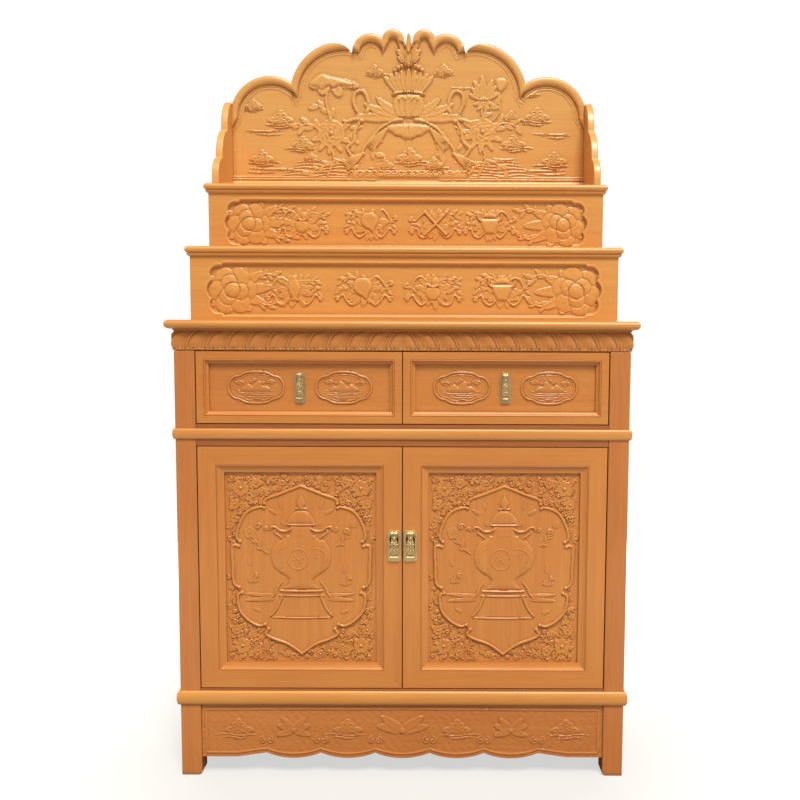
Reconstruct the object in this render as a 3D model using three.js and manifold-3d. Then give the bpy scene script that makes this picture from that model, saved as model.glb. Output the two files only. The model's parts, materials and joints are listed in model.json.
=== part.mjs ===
// A household altar cabinet in clear-lacquered wood: a cabinet with two doors and two drawers,
// two steps for offerings on its top, and a lobed back screen carved with a lotus.
// Millimetres. X is the width, Y runs from the front (-) to the back (+) and Z is up.
// The origin is on the floor in the middle of the footprint.

import * as THREE from 'three'
import { mergeVertices } from 'three/addons/utils/BufferGeometryUtils.js'
import Module from 'manifold-3d'

const wasm = await Module()
wasm.setup()

// Driving sizes: the cabinet
const topDepth = 480
const topOverhang = 16
const topThickness = 20
const bodyWidth = 1048
const bodySetBack = 20
const postSize = 48
const footChamfer = 6
const floorToRail = 172
const baseRailHeight = 40
const doorHeight = 572
const waistRailHeight = 50
const drawerFrontHeight = 165
const friezeHeight = 49
const friezeProud = 5
const railDepth = 30
const panelBoard = 16
const panelRecess = 3
const backBoard = 10
const shelfBoard = 18
const dividerBoard = 18

// Driving sizes: mouldings and apron
const waistMouldingHeight = 25
const waistMouldingProud = 5
const waistMouldingDrop = 10
const baseMouldingHeight = 34
const baseMouldingProud = 7
const baseMouldingDrop = 5
const apronClearance = 41
const apronThickness = 18
const apronRecess = 4
const apronLobes = 7
const apronLobePitch = 129
const apronCuspRise = 13

// Driving sizes: doors
const doorThickness = 24
const doorMember = 60
const doorRebate = 8
const doorRebateDepth = 12
const doorPanelThickness = 8
const pivotInset = 5
const pinRadius = 2.5
const pinLength = 8
const doorEdgeChamfer = 1

// Driving sizes: drawers
const drawerFrontThickness = 20
const drawerMember = 32
const drawerRebate = 6
const drawerRebateDepth = 12
const trayBackRoom = 41.7
const trayHeight = 118
const trayWall = 12
const trayFloor = 8
const trayClearance = 5

// Driving sizes: steps and back screen
const stepBoard = 24
const stepNarrowing = 16
const lowerStepRise = 181
const upperStepRise = 171.5
const stepTread = 120
const stepOverhang = 10
const stepSide = 16
const riserThickness = 18
const screenThickness = 26
const screenBorder = 21
const screenFieldDepth = 6
const screenRailTop = 50
const wingThickness = 18

// Driving sizes: brass pulls
const pullPlate = 1.6
const doorPullWidth = 31
const doorPullHeight = 74
const drawerPullWidth = 25
const drawerPullHeight = 72
const pullDrop = 3
const pullPin = 1.5
const pullEye = 2.4
const pullKnuckle = 4.2
const pullArm = 5.2
const pullLug = 2.4
const pullLugReach = 2
const pullLugHeight = 2.6
const doorPullRise = 55
const doorPullEdge = 2.5

// Clearances: glued joints, round the doors and drawer fronts, under a drawer, round a pivot pin
const glueGap = 0.3
const leafGap = 2
const runGap = 1
const pinGap = 0.5

// Heights and places that follow from them
const topWidth = bodyWidth + 2 * topOverhang
const lowerStepWidth = bodyWidth
const upperStepWidth = lowerStepWidth - 2 * stepNarrowing
const back = topDepth / 2
const topFront = -topDepth / 2
const bodyFront = topFront + bodySetBack
const bodySide = bodyWidth / 2
const postInner = bodySide - postSize
const baseRailTop = floorToRail + baseRailHeight
const doorBottom = baseRailTop + leafGap
const waistRailBottom = doorBottom + doorHeight + leafGap
const waistRailTop = waistRailBottom + waistRailHeight
const drawerBottom = waistRailTop + leafGap
const friezeBottom = drawerBottom + drawerFrontHeight + leafGap
const tableUnderside = friezeBottom + friezeHeight
const tableTop = tableUnderside + topThickness
const lowerStepTop = tableTop + lowerStepRise
const upperStepTop = lowerStepTop + upperStepRise
const lowerStepFront = topFront + stepTread
const upperStepFront = lowerStepFront + stepTread
const leafWidth = postInner - leafGap * 1.5
const leafCentre = leafGap / 2 + leafWidth / 2
const screenFront = back - screenThickness
const screenHalf = upperStepWidth / 2 - stepOverhang - stepSide - glueGap

// Materials
const wood = (color, roughness) => new THREE.MeshStandardMaterial({ color, roughness, metalness: 0 })
const caseWood = wood(0xc9793c, 0.4)
const screenWood = wood(0xdf9d58, 0.4)
const leafWood = wood(0xd08443, 0.38)
const innerWood = wood(0xd8a267, 0.6)
const brass = new THREE.MeshStandardMaterial({ color: 0xa98c45, roughness: 0.35, metalness: 1 })

const cabinet = new THREE.Group()

// Directions: each turn says where a shape's own x, y and z point
const X = new THREE.Vector3(1, 0, 0)
const Y = new THREE.Vector3(0, 1, 0)
const Z = new THREE.Vector3(0, 0, 1)

function turn(x, y) {
  return new THREE.Matrix4().makeBasis(x, y, x.clone().cross(y))
}

const left = X.clone().negate()
const down = Z.clone().negate()
const flat = turn(X, Y)
const facingFront = turn(X, Z)
const sectionAlongX = turn(Y, Z)

function piece(name, shape, material, x, y, z, direction = flat) {
  const geometry = shape.isBufferGeometry ? shape : toGeometry(shape)
  const mesh = new THREE.Mesh(geometry, material)
  mesh.name = name
  mesh.position.set(x, y, z)
  mesh.quaternion.setFromRotationMatrix(direction)
  cabinet.add(mesh)
}

// Closed meshes to solids for joining and cutting, and back
function toSolid(geometry) {
  const plain = geometry.clone()
  plain.deleteAttribute('normal')
  plain.deleteAttribute('uv')
  const merged = mergeVertices(plain, 1e-4)
  const corners = []
  for (let i = 0; i < merged.index.count; i += 3) {
    const [a, b, c] = [0, 1, 2].map((k) => merged.index.getX(i + k))
    if (a !== b && b !== c && c !== a) corners.push(a, b, c)
  }
  const vertProperties = new Float32Array(merged.attributes.position.array)
  const triVerts = new Uint32Array(corners)
  return new wasm.Manifold(new wasm.Mesh({ numProp: 3, vertProperties, triVerts }))
}

function toGeometry(solid) {
  const mesh = solid.getMesh()
  const geometry = new THREE.BufferGeometry()
  geometry.setAttribute('position', new THREE.BufferAttribute(mesh.vertProperties, 3))
  geometry.setIndex(new THREE.BufferAttribute(mesh.triVerts, 1))
  geometry.computeVertexNormals()
  return geometry
}

function join(first, ...others) {
  return others.reduce((sum, other) => sum.add(toSolid(other)), toSolid(first))
}

// Plain shapes
function box(x0, x1, y0, y1, z0, z1) {
  const geometry = new THREE.BoxGeometry(x1 - x0, y1 - y0, z1 - z0)
  return geometry.translate((x0 + x1) / 2, (y0 + y1) / 2, (z0 + z1) / 2)
}

function outline(points) {
  return new THREE.Shape(points.map(([x, y]) => new THREE.Vector2(x, y)))
}

function prism(points, depth, from = 0) {
  const geometry = new THREE.ExtrudeGeometry(outline(points), { depth, bevelEnabled: false })
  return geometry.translate(0, 0, from)
}

function mirrored(halfOutline) {
  // A half outline from its top to its bottom, on the +x side, closed by its mirror image
  const other = halfOutline.filter(([x]) => x !== 0).map(([x, y]) => [-x, y]).reverse()
  return [...halfOutline, ...other]
}

function arcThrough(start, via, end, steps) {
  // Points on the circle through three points, from start to just before end
  const [ax, ay, bx, by, cx, cy] = [...start, ...via, ...end]
  const d = 2 * (ax * (by - cy) + bx * (cy - ay) + cx * (ay - by))
  const [a2, b2, c2] = [ax * ax + ay * ay, bx * bx + by * by, cx * cx + cy * cy]
  const x = (a2 * (by - cy) + b2 * (cy - ay) + c2 * (ay - by)) / d
  const y = (a2 * (cx - bx) + b2 * (ax - cx) + c2 * (bx - ax)) / d
  const from = Math.atan2(ay - y, ax - x)
  const full = 2 * Math.PI
  const sweep = (angle) => (((angle - from) % full) + full) % full
  const through = sweep(Math.atan2(by - y, bx - x))
  const whole = sweep(Math.atan2(cy - y, cx - x))
  const span = through < whole ? whole : whole - full
  const radius = Math.hypot(ax - x, ay - y)
  return Array.from({ length: steps }, (_, i) => {
    const angle = from + (span * i) / steps
    return [x + radius * Math.cos(angle), y + radius * Math.sin(angle)]
  })
}

function inset(points, distance) {
  // Each edge moved inwards, with its corners where the moved edges meet
  const count = points.length
  const area = points.reduce((sum, [x, y], i) => {
    const [nextX, nextY] = points[(i + 1) % count]
    return sum + x * nextY - nextX * y
  }, 0)
  const side = Math.sign(area) * distance
  return points.map(([x, y], i) => {
    const [px, py] = points[(i + count - 1) % count]
    const [nx, ny] = points[(i + 1) % count]
    const before = new THREE.Vector2(x - px, y - py).normalize()
    const after = new THREE.Vector2(nx - x, ny - y).normalize()
    const grow = side / (1 + before.dot(after))
    return [x - (before.y + after.y) * grow, y + (before.x + after.x) * grow]
  })
}

// A moulded strip. Its section is in (u, v), with u from the outer edge inwards, and each end
// that is mitred is cut back by u, so two strips meet on the corner's bisector.
function strip(section, length, startMitre, endMitre, gap = glueGap / 2) {
  const geometry = prism(section, length)
  const position = geometry.getAttribute('position')
  for (let i = 0; i < position.count; i++) {
    const atEnd = position.getZ(i) > length / 2
    const cut = (atEnd ? endMitre : startMitre) * position.getX(i) + gap
    position.setZ(i, atEnd ? length - cut : cut)
  }
  return geometry
}

function sunkFrame(section, width, height) {
  // Four mitred strips joined into one frame, seen from the front, its middle at the origin
  const seam = -0.01
  const side = strip(section, height, 1, 1, seam)
  const rail = strip(section, width, 1, 1, seam)
  const members = [
    side.clone().applyMatrix4(turn(X, down)).translate(-width / 2, -height / 2, 0),
    side.clone().applyMatrix4(turn(left, down)).translate(width / 2, height / 2, 0),
    rail.clone().applyMatrix4(turn(Y, down)).translate(width / 2, -height / 2, 0),
    rail.clone().applyMatrix4(turn(Y.clone().negate(), down)).translate(-width / 2, height / 2, 0),
  ]
  return join(...members)
}

// Carving. A carved face is drawn with x to the right, y up and z out of the wood.
function petal(x, y, degrees, length, width, height) {
  // A leaf or petal from its foot at x, y, pointing up and turned anticlockwise
  const profile = [[0, 0], [0.46, 0.35], [0.42, 0.75], [0, 1]]
  const curve = profile.map(([r, t]) => new THREE.Vector2(r * width, t * length))
  const geometry = new THREE.LatheGeometry(curve, 4)
  geometry.scale(1, 1, (2 * height) / width)
  return geometry.rotateZ(THREE.MathUtils.degToRad(degrees)).translate(x, y, 0)
}

function boss(x, y, radiusX, radiusY, height, rings = 2) {
  const geometry = new THREE.SphereGeometry(1, 6, rings)
  return geometry.rotateX(Math.PI / 2).scale(radiusX, radiusY, height).translate(x, y, 0)
}

function turned(profile, height) {
  // A vessel seen from the side, as half of a flattened turned shape
  const curve = profile.map(([r, y]) => new THREE.Vector2(r, y))
  const widest = Math.max(...profile.map(([r]) => r))
  const geometry = new THREE.LatheGeometry(curve, 6).rotateY(Math.PI / 6)
  return geometry.scale(1, 1, height / widest)
}

function cord(path, width, height) {
  // A raised line along a path, pointed at both ends
  const side = (sign) => path.slice(1, -1).map(([x, y], i) => {
    const [before, after] = [path[i], path[i + 2]]
    const along = new THREE.Vector2(after[0] - before[0], after[1] - before[1]).normalize()
    return [x - (sign * along.y * width) / 2, y + (sign * along.x * width) / 2]
  })
  const points = [path[0], ...side(1), path[path.length - 1], ...side(-1).reverse()]
  return prism(points, height + 1, -1)
}

function band(points, width, height) {
  // A raised line along a closed outline
  const shape = outline(inset(points, -width / 2))
  shape.holes.push(outline(inset(points, width / 2).reverse()))
  const geometry = new THREE.ExtrudeGeometry(shape, { depth: height + 1, bevelEnabled: false })
  return geometry.translate(0, 0, -1)
}

function ring(count, make) {
  return Array.from({ length: count }, (_, i) => make((360 * i) / count))
}

function flower(x, y, radius, height, count = 6) {
  const petals = ring(count, (angle) => petal(x, y, angle, radius, radius * 0.85, height))
  return [...petals, boss(x, y, radius * 0.26, radius * 0.26, height * 1.3)]
}

function cloud(x, y, size, height) {
  const puffs = [[-0.4, 0.06, 0.6, 0.32], [0.5, -0.06, 0.65, 0.26]]
  return puffs.map(([dx, dy, rx, ry]) => boss(x + dx * size, y + dy * size, rx * size, ry * size, height))
}

function fan(x, y, count, spread, length, width, height) {
  return Array.from({ length: count }, (_, i) => {
    const angle = spread * (i / (count - 1) - 0.5)
    return petal(x, y, angle, length, width, height)
  })
}

function bothSides(make) {
  return [...make(1), ...make(-1)]
}

// A board with a moulded nose on its front and both ends.
// The nose is a list of [set back, height] from the underside to the top.
function nosedBoard(width, depth, thickness, nose) {
  const frontOutline = [...nose, [depth, thickness], [depth, 0]]
  const half = nose.map(([inward, z]) => [width / 2 - inward, z])
  const endOutline = [...half, ...half.map(([x, z]) => [-x, z]).reverse()]
  const along = toSolid(prism(frontOutline, width, -width / 2).applyMatrix4(sectionAlongX))
  const across = toSolid(prism(endOutline, depth, -depth).applyMatrix4(facingFront))
  return along.intersect(across)
}

// Half an ellipse, standing proud by reach, from the underside of a board or moulding to its top
function halfRound(height, reach, steps = 6) {
  return Array.from({ length: steps + 1 }, (_, i) => {
    const angle = Math.PI * (i / steps - 0.5)
    return [reach - reach * Math.cos(angle), height * (0.5 + 0.5 * Math.sin(angle))]
  })
}

function cavettoNose(thickness, overhang) {
  // A round top edge over a hollowed slope that ends at the riser's face
  const tip = thickness * 0.62
  return [
    [overhang, 0],
    [overhang * 0.62, thickness * 0.2],
    [overhang * 0.3, thickness * 0.42],
    [0, tip],
    [overhang * 0.12, thickness * 0.85],
    [overhang * 0.5, thickness],
  ]
}

// Posts, with a chamfered inner corner at the foot
for (const [side, sign] of [['left', -1], ['right', 1]]) {
  const inner = sign * postInner
  const outer = sign * bodySide
  const foot = [
    [outer, 0],
    [outer, friezeBottom - glueGap],
    [inner, friezeBottom - glueGap],
    [inner, footChamfer],
    [inner + sign * footChamfer, 0],
  ]
  for (const [end, y] of [['front', bodyFront + postSize], ['back', back]]) {
    piece(`post_${end}_${side}`, prism(foot, postSize), caseWood, 0, y, 0, facingFront)
  }
}

// Rails across the front, drilled for the doors' pivot pins
const pivotX = postInner - leafGap - pivotInset
const pivotY = bodyFront + pivotInset
const pinHoleRadius = pinRadius + pinGap

function pivotHole(x, z) {
  const depth = pinLength + pinGap
  const hole = new THREE.CylinderGeometry(pinHoleRadius, pinHoleRadius, depth * 2, 12)
  return toSolid(hole.rotateX(Math.PI / 2).translate(x, pivotY, z))
}

function drilledRail(bottom, top, pinFace) {
  const width = postInner - glueGap
  const rail = toSolid(box(-width, width, bodyFront, bodyFront + railDepth, bottom, top))
  return rail.subtract(pivotHole(-pivotX, pinFace)).subtract(pivotHole(pivotX, pinFace))
}

piece('waist_rail', drilledRail(waistRailBottom, waistRailTop, waistRailBottom), caseWood, 0, 0, 0)
piece('base_rail', drilledRail(floorToRail, baseRailTop, baseRailTop), caseWood, 0, 0, 0)

// Side and back boards, and the boards inside
const panelOuter = bodySide - panelRecess
const panelFront = bodyFront + postSize + glueGap
const panelBack = back - postSize - glueGap
const fieldRaise = 2
const fieldMargin = 40

function sidePanel() {
  // Two raised fields, beside the drawers and beside the doors
  const fields = [
    [floorToRail + fieldMargin, waistRailBottom - fieldMargin / 2],
    [waistRailTop + fieldMargin / 2, friezeBottom - fieldMargin / 2],
  ]
  const inner = panelOuter - panelBoard
  const raised = fields.map(([low, high]) =>
    box(inner, panelOuter + fieldRaise, panelFront + fieldMargin, panelBack - fieldMargin, low, high))
  const board = box(inner, panelOuter, panelFront, panelBack, floorToRail, friezeBottom - glueGap)
  return join(board, ...raised)
}

piece('side_panel_right', sidePanel(), caseWood, 0, 0, 0)
piece('side_panel_left', sidePanel().mirror([1, 0, 0]), caseWood, 0, 0, 0)

const backFront = back - backBoard - panelRecess
const backHalf = postInner - glueGap
piece('cabinet_back_panel', box(-backHalf, backHalf, backFront, backFront + backBoard,
  floorToRail, tableUnderside - glueGap), caseWood, 0, 0, 0)

function fittedBoard() {
  // A board between the side panels, notched round the four posts
  const wide = panelOuter - panelBoard - glueGap
  const narrow = postInner - glueGap
  const front = bodyFront + railDepth + glueGap
  const rear = backFront - glueGap
  const half = [[narrow, rear], [narrow, panelBack], [wide, panelBack], [wide, panelFront],
    [narrow, panelFront], [narrow, front]]
  return prism(mirrored(half), shelfBoard)
}

const middleBoardTop = waistRailTop
piece('bottom_board', fittedBoard(), innerWood, 0, 0, baseRailTop - shelfBoard)
piece('middle_board', fittedBoard(), innerWood, 0, 0, middleBoardTop - shelfBoard)

const dividerFront = bodyFront + drawerFrontThickness + leafGap
piece('drawer_divider', box(-dividerBoard / 2, dividerBoard / 2, dividerFront, backFront - glueGap,
  middleBoardTop + glueGap, friezeBottom - glueGap), innerWood, 0, 0, 0)

// Half-round mouldings round the front and sides
function roundFrontAndSides(name, section, proud, z, carve) {
  const corner = bodySide + proud
  const frontY = bodyFront - proud
  const front = strip(section, corner * 2, 1, 1)
  if (carve) piece(`${name}_front`, carve(front), caseWood, -corner, frontY, z, facingFront)
  else piece(`${name}_front`, front, caseWood, -corner, frontY, z, sectionAlongX)
  const length = back - frontY
  piece(`${name}_left`, strip(section, length, 0, 1), caseWood, -corner, back, z, turn(X, Z))
  piece(`${name}_right`, strip(section, length, 1, 0), caseWood, corner, frontY, z, turn(left, Z))
}

const waistMouldingZ = waistRailTop - waistMouldingDrop - waistMouldingHeight
const waistProud = waistMouldingProud + glueGap
roundFrontAndSides('waist_moulding', halfRound(waistMouldingHeight, waistMouldingProud),
  waistProud, waistMouldingZ)
const baseMouldingZ = baseRailTop - baseMouldingDrop - baseMouldingHeight
const baseProud = baseMouldingProud + glueGap
roundFrontAndSides('base_moulding', halfRound(baseMouldingHeight, baseMouldingProud),
  baseProud, baseMouldingZ)

// Frieze under the top: a swelling band of slanting lotus petals that lean towards the middle
const friezePitch = 47
const friezeNeck = 3.5
const friezeDepth = postSize + friezeProud
const petalLean = 50
const petalWidth = 20
const petalLength = friezeHeight
const petalFoot = 4
const petalRelief = 3

function friezeSection() {
  const high = friezeHeight - glueGap
  const shoulder = high - friezeNeck
  return [[3.5, 0], [0, shoulder * 0.3], [0, shoulder * 0.7], [4, shoulder], [4, high],
    [friezeDepth, high], [friezeDepth, 0]]
}

function petalledFrieze(geometry) {
  const seen = geometry.applyMatrix4(turn(down, Y))
  const width = (bodySide + friezeProud) * 2
  const count = Math.floor(width / friezePitch / 2) * 2
  const petals = Array.from({ length: count }, (_, i) => {
    const x = (width * (i + 0.5)) / count
    const side = x < width / 2 ? 1 : -1
    const footX = x - (side * petalLength) / 3
    return petal(footX, petalFoot, -side * petalLean, petalLength, petalWidth, petalRelief)
  })
  const swell = box(0, width, 0, friezeHeight - friezeNeck - glueGap, -petalRelief, petalRelief)
  return toSolid(seen).add(join(...petals).intersect(toSolid(swell)))
}

roundFrontAndSides('frieze', friezeSection(), friezeProud, friezeBottom, petalledFrieze)

// Apron between the front legs, scalloped below, with a thin raised border and shallow scrolls
const apronTop = floorToRail - glueGap

function apronOutline(halfWidth, lobes, pitch) {
  // From the right end to the left: a flat end, then the scallops
  const cusps = Array.from({ length: lobes - 1 }, (_, i) => (lobes / 2 - 1 - i) * pitch)
  const height = apronTop - apronClearance
  const endRise = 3
  const endFlat = halfWidth - (halfWidth - cusps[0]) * 0.55
  const points = [[halfWidth, height], [halfWidth, endRise], [endFlat, endRise]]
  cusps.forEach((x, i) => {
    points.push([x, apronCuspRise])
    const next = cusps[i + 1]
    if (next !== undefined) {
      const inner = arcThrough([x, apronCuspRise], [(x + next) / 2, 0], [next, apronCuspRise], 4)
      points.push(...inner.slice(1))
    }
  })
  points.push([-endFlat, endRise], [-halfWidth, endRise], [-halfWidth, height])
  return points
}

const apronHalf = postInner - glueGap
const apronScroll = 34
const apronRelief = 2
const apronLine = 9
const apronLineWidth = 4
const apronMiddle = (apronTop - apronClearance) * 0.55

function carvedApron() {
  const scroll = (x, side) => cord([[x, apronMiddle - apronScroll], [x + side * 22, apronMiddle - 12],
    [x + side * 6, apronMiddle + 16], [x + side * 30, apronMiddle + apronScroll]], 6, apronRelief)
  const carving = bothSides((side) => [1, 2.2, 3.1].flatMap((k) => [
    scroll(side * k * 110, side),
    boss(side * (k * 110 + 38), apronMiddle, 20, 12, apronRelief),
  ]))
  const wings = bothSides((side) => [petal(0, apronMiddle, side * 70, 52, 26, apronRelief * 1.3)])
  const lineTop = apronTop - apronClearance - apronLine
  const frameLine = box(-apronHalf + apronLine, apronHalf - apronLine, lineTop - apronLineWidth, lineTop,
    -1, apronRelief / 2)
  return join(prism(apronOutline(apronHalf, apronLobes, apronLobePitch), apronThickness, -apronThickness),
    ...carving, ...wings, frameLine)
}

piece('apron_front', carvedApron(), caseWood, 0, bodyFront + apronRecess, apronClearance, facingFront)

const sideApronHalf = (panelBack - panelFront) / 2
const sideApronLobes = 3
for (const [side, sign] of [['left', -1], ['right', 1]]) {
  const board = prism(apronOutline(sideApronHalf, sideApronLobes, apronLobePitch), apronThickness,
    -apronThickness)
  piece(`apron_${side}`, board, caseWood, sign * (bodySide - apronRecess), (panelFront + panelBack) / 2,
    apronClearance, sign > 0 ? turn(Y, Z) : turn(Y.clone().negate(), Z))
}

// Tabletop
const tabletop = nosedBoard(topWidth, topDepth, topThickness, halfRound(topThickness, topThickness / 2))
piece('tabletop', tabletop, caseWood, 0, topFront, tableUnderside)

// Brass pulls: a plate with two lugs on it, and a drop that hangs from the pin between them
function roundedRectangle(width, height, corner) {
  const [x, y] = [width / 2, height / 2]
  return [[x - corner, y], [x, y - corner], [x, corner - y], [x - corner, -y],
    [corner - x, -y], [-x, corner - y], [-x, y - corner], [corner - x, y]]
}

function pull(name, width, height, x, faceY, z) {
  const topMargin = 3
  const pinZ = height / 2 - pullKnuckle - topMargin
  const plateCorner = 4
  const plate = prism(roundedRectangle(width, height, plateCorner), pullPlate)
  const lugX = width / 4
  const pinOut = pullPlate + pullArm
  const pin = new THREE.CylinderGeometry(pullPin, pullPin, lugX * 2, 8)
  pin.rotateZ(Math.PI / 2).translate(0, pinZ, pinOut)
  const lugs = bothSides((side) => [
    box(side * lugX - pullLug / 2, side * lugX + pullLug / 2, pinZ - pullLugHeight, pinZ + pullLugHeight,
      0, pinOut + pullLugReach),
  ])
  piece(`${name}_plate`, join(plate, pin, ...lugs), brass, x, faceY - glueGap, z, facingFront)

  const knuckleHalf = lugX - pullLug / 2 - pinGap
  const outer = new THREE.CylinderGeometry(pullKnuckle, pullKnuckle, knuckleHalf * 2, 8)
  const bore = new THREE.CylinderGeometry(pullEye, pullEye, knuckleHalf * 4, 8)
  const sideMargin = 3
  const dropHalf = width / 2 - sideMargin
  const dropLength = height * 0.76
  const neck = 4
  const shoulder = -11
  const half = [[neck, -pullKnuckle / 2], [dropHalf, shoulder], [dropHalf, 9 - dropLength],
    [dropHalf - neck, -dropLength]]
  const body = prism([...half, ...half.map(([px, py]) => [-px, py]).reverse()], pullDrop, -pullDrop / 2)
  const knots = [0.36, 0.72].map((t) => boss(0, -dropLength * t, dropHalf * 0.7, 9, pullDrop))
  const drop = join(body, ...knots, outer.rotateZ(Math.PI / 2)).subtract(toSolid(bore.rotateZ(Math.PI / 2)))
  piece(`${name}_drop`, drop, brass, x, faceY - glueGap - pinOut, z + pinZ, facingFront)
}

// Doors: four mitred members round a carved panel
const doorRebateU = doorMember - doorRebate
const doorPanelWidth = leafWidth - 2 * (doorRebateU + glueGap)
const doorPanelHeight = doorHeight - 2 * (doorRebateU + glueGap)
const doorPanelFace = doorRebateDepth + glueGap
const doorRelief = 5

function doorSection() {
  return [[0, doorEdgeChamfer], [doorEdgeChamfer, 0], [34, 0], [34.8, 1.6], [36.5, 0.2], [39, 0.2],
    [40.5, 1.6], [45, 5.5], [51, 8.5], [doorMember, 9.6], [doorMember, doorRebateDepth],
    [doorRebateU, doorRebateDepth], [doorRebateU, doorThickness], [0, doorThickness]]
}

// The door panel's cartouche, its right half from the top point to the bottom point
const cartoucheHalf = [[0, 206], [30, 188], [62, 176], [86, 163], [80, 150], [112, 143], [136, 118],
  [146, 88], [146, 68], [157, 52], [157, -38], [143, -52], [143, -92], [122, -122], [88, -136],
  [78, -145], [52, -166], [20, -186], [0, -204]]

// The covered urn, from its foot to its finial: [radius, height]
const urnProfile = [[0, -62], [46, -62], [34, -40], [58, -14], [72, 20], [62, 52], [44, 68],
  [60, 100], [60, 112], [34, 118], [28, 136], [8, 148], [11, 164], [0, 178]]

function doorCarving() {
  const tiers = [[62, -80, -66], [74, -98, -84], [86, -114, -102]]
  const stand = tiers.map(([half, low, high]) => box(-half, half, low, high, -1, doorRelief - 1))
  const handles = bothSides((side) => [
    cord([[side * 58, 88], [side * 84, 96], [side * 88, 70], [side * 66, 50]], 9, 4),
    ...flower(side * 112, 100, 20, 3, 5),
    petal(side * 112, -46, side * -10, 36, 14, 2.5),
    petal(side * 112, -46, side * 40, 30, 12, 2.5),
    ...cloud(side * 112, -76, 26, 3),
  ])
  const corners = bothSides((side) => [[150, 196, 1], [150, -196, -1]].flatMap(([x, y, up]) => [
    petal(side * x, y, side * (up > 0 ? 95 : 85), 62, 20, 3),
    petal(side * x, y, side * (up > 0 ? 175 : 5), 62, 20, 3),
    petal(side * (x + 6), y + up * 6, side * (up > 0 ? 135 : 45), 50, 24, 3.5),
  ]))
  return [band(mirrored(cartoucheHalf), 8, doorRelief - 1), turned(urnProfile, doorRelief), ...stand,
    ...handles, ...corners, boss(0, 20, 26, 26, doorRelief + 1.5)]
}

function doorPanel() {
  const slab = prism([[doorPanelWidth / 2, doorPanelHeight / 2], [-doorPanelWidth / 2, doorPanelHeight / 2],
    [-doorPanelWidth / 2, -doorPanelHeight / 2], [doorPanelWidth / 2, -doorPanelHeight / 2]],
  doorPanelThickness, -doorPanelThickness)
  const all = join(slab, ...doorCarving())
  const limits = toSolid(box(-doorPanelWidth / 2, doorPanelWidth / 2, -doorPanelHeight / 2,
    doorPanelHeight / 2, -doorPanelThickness, doorRebateDepth))
  return all.intersect(limits)
}

function pinned(rail, atStart) {
  // A pivot pin on the rail's outer edge, at its hinge end
  const embed = 2
  const pin = new THREE.CylinderGeometry(pinRadius, pinRadius, pinLength + embed, 12)
  const along = atStart ? pivotInset : leafWidth - pivotInset
  pin.rotateZ(Math.PI / 2).translate((embed - pinLength) / 2, pivotInset, along)
  return join(rail, pin)
}

const doorMiddle = doorBottom + doorHeight / 2
for (const [side, sign] of [['left', -1], ['right', 1]]) {
  const centre = sign * leafCentre
  const [x0, x1] = [centre - leafWidth / 2, centre + leafWidth / 2]
  const [z0, z1] = [doorBottom, doorBottom + doorHeight]
  const stile = strip(doorSection(), doorHeight, 1, 1)
  const topRail = pinned(strip(doorSection(), leafWidth, 1, 1), sign < 0)
  const bottomRail = pinned(strip(doorSection(), leafWidth, 1, 1), sign > 0)
  piece(`door_${side}_left_stile`, stile, leafWood, x0, bodyFront, z0, turn(X, Y))
  piece(`door_${side}_right_stile`, stile.clone(), leafWood, x1, bodyFront, z1, turn(left, Y))
  piece(`door_${side}_top_rail`, topRail, leafWood, x0, bodyFront, z1, turn(down, Y))
  piece(`door_${side}_bottom_rail`, bottomRail, leafWood, x1, bodyFront, z0, turn(Z, Y))
  piece(`door_${side}_panel`, doorPanel(), leafWood, centre, bodyFront + doorPanelFace, doorMiddle,
    facingFront)
  const pullX = sign * (leafGap / 2 + doorPullEdge + doorPullWidth / 2)
  pull(`door_${side}_pull`, doorPullWidth, doorPullHeight, pullX, bodyFront, doorMiddle + doorPullRise)
}

// Drawers: a moulded front round a carved panel, and an open tray behind it
const drawerRebateU = drawerMember - drawerRebate
const drawerPanelWidth = leafWidth - 2 * (drawerRebateU + glueGap)
const drawerPanelHeight = drawerFrontHeight - 2 * (drawerRebateU + glueGap)
const drawerPanelFace = drawerRebateDepth + glueGap
const drawerPanelThickness = drawerFrontThickness - drawerPanelFace
const drawerRelief = 3

function drawerSection() {
  return [[0, 0], [20, 0], [20.6, 1.4], [23, 0.2], [28, 1.6], [drawerMember, 7],
    [drawerMember, drawerRebateDepth], [drawerRebateU, drawerRebateDepth],
    [drawerRebateU, drawerFrontThickness], [0, drawerFrontThickness]]
}

// A drawer's small cartouche, its right half from the top to the bottom, as drawn 128 wide
const smallCartoucheHalf = [[0, 34], [26, 35], [46, 23], [62, 15], [66, -8], [54, -24], [34, -35], [0, -37]]

function smallCartouche(x) {
  const moved = mirrored(smallCartoucheHalf).map(([px, py]) => [px + x, py])
  const wave = cord([[x - 48, -14], [x - 16, -8], [x + 18, -17], [x + 50, -12]], 5, 2)
  return [band(moved, 4.5, 2.2), wave, petal(x - 20, 0, -70, 34, 14, drawerRelief),
    petal(x + 20, 0, 60, 30, 16, drawerRelief)]
}

const smallCartoucheOffset = 101

function drawerPanel() {
  const [w, h] = [drawerPanelWidth / 2, drawerPanelHeight / 2]
  const slab = box(-w, w, -h, h, -drawerPanelThickness, 0)
  return join(slab, ...smallCartouche(-smallCartoucheOffset), ...smallCartouche(smallCartoucheOffset))
}

const trayFront = bodyFront + drawerFrontThickness + glueGap
const trayDepth = backFront - trayBackRoom - trayFront

function tray() {
  const width = leafWidth - dividerBoard / 2 - 2 * trayClearance
  const outer = toSolid(box(-width / 2, width / 2, 0, trayDepth, 0, trayHeight))
  const inner = box(-width / 2 + trayWall, width / 2 - trayWall, -1, trayDepth - trayWall,
    trayFloor, trayHeight + 1)
  return outer.subtract(toSolid(inner))
}

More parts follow.
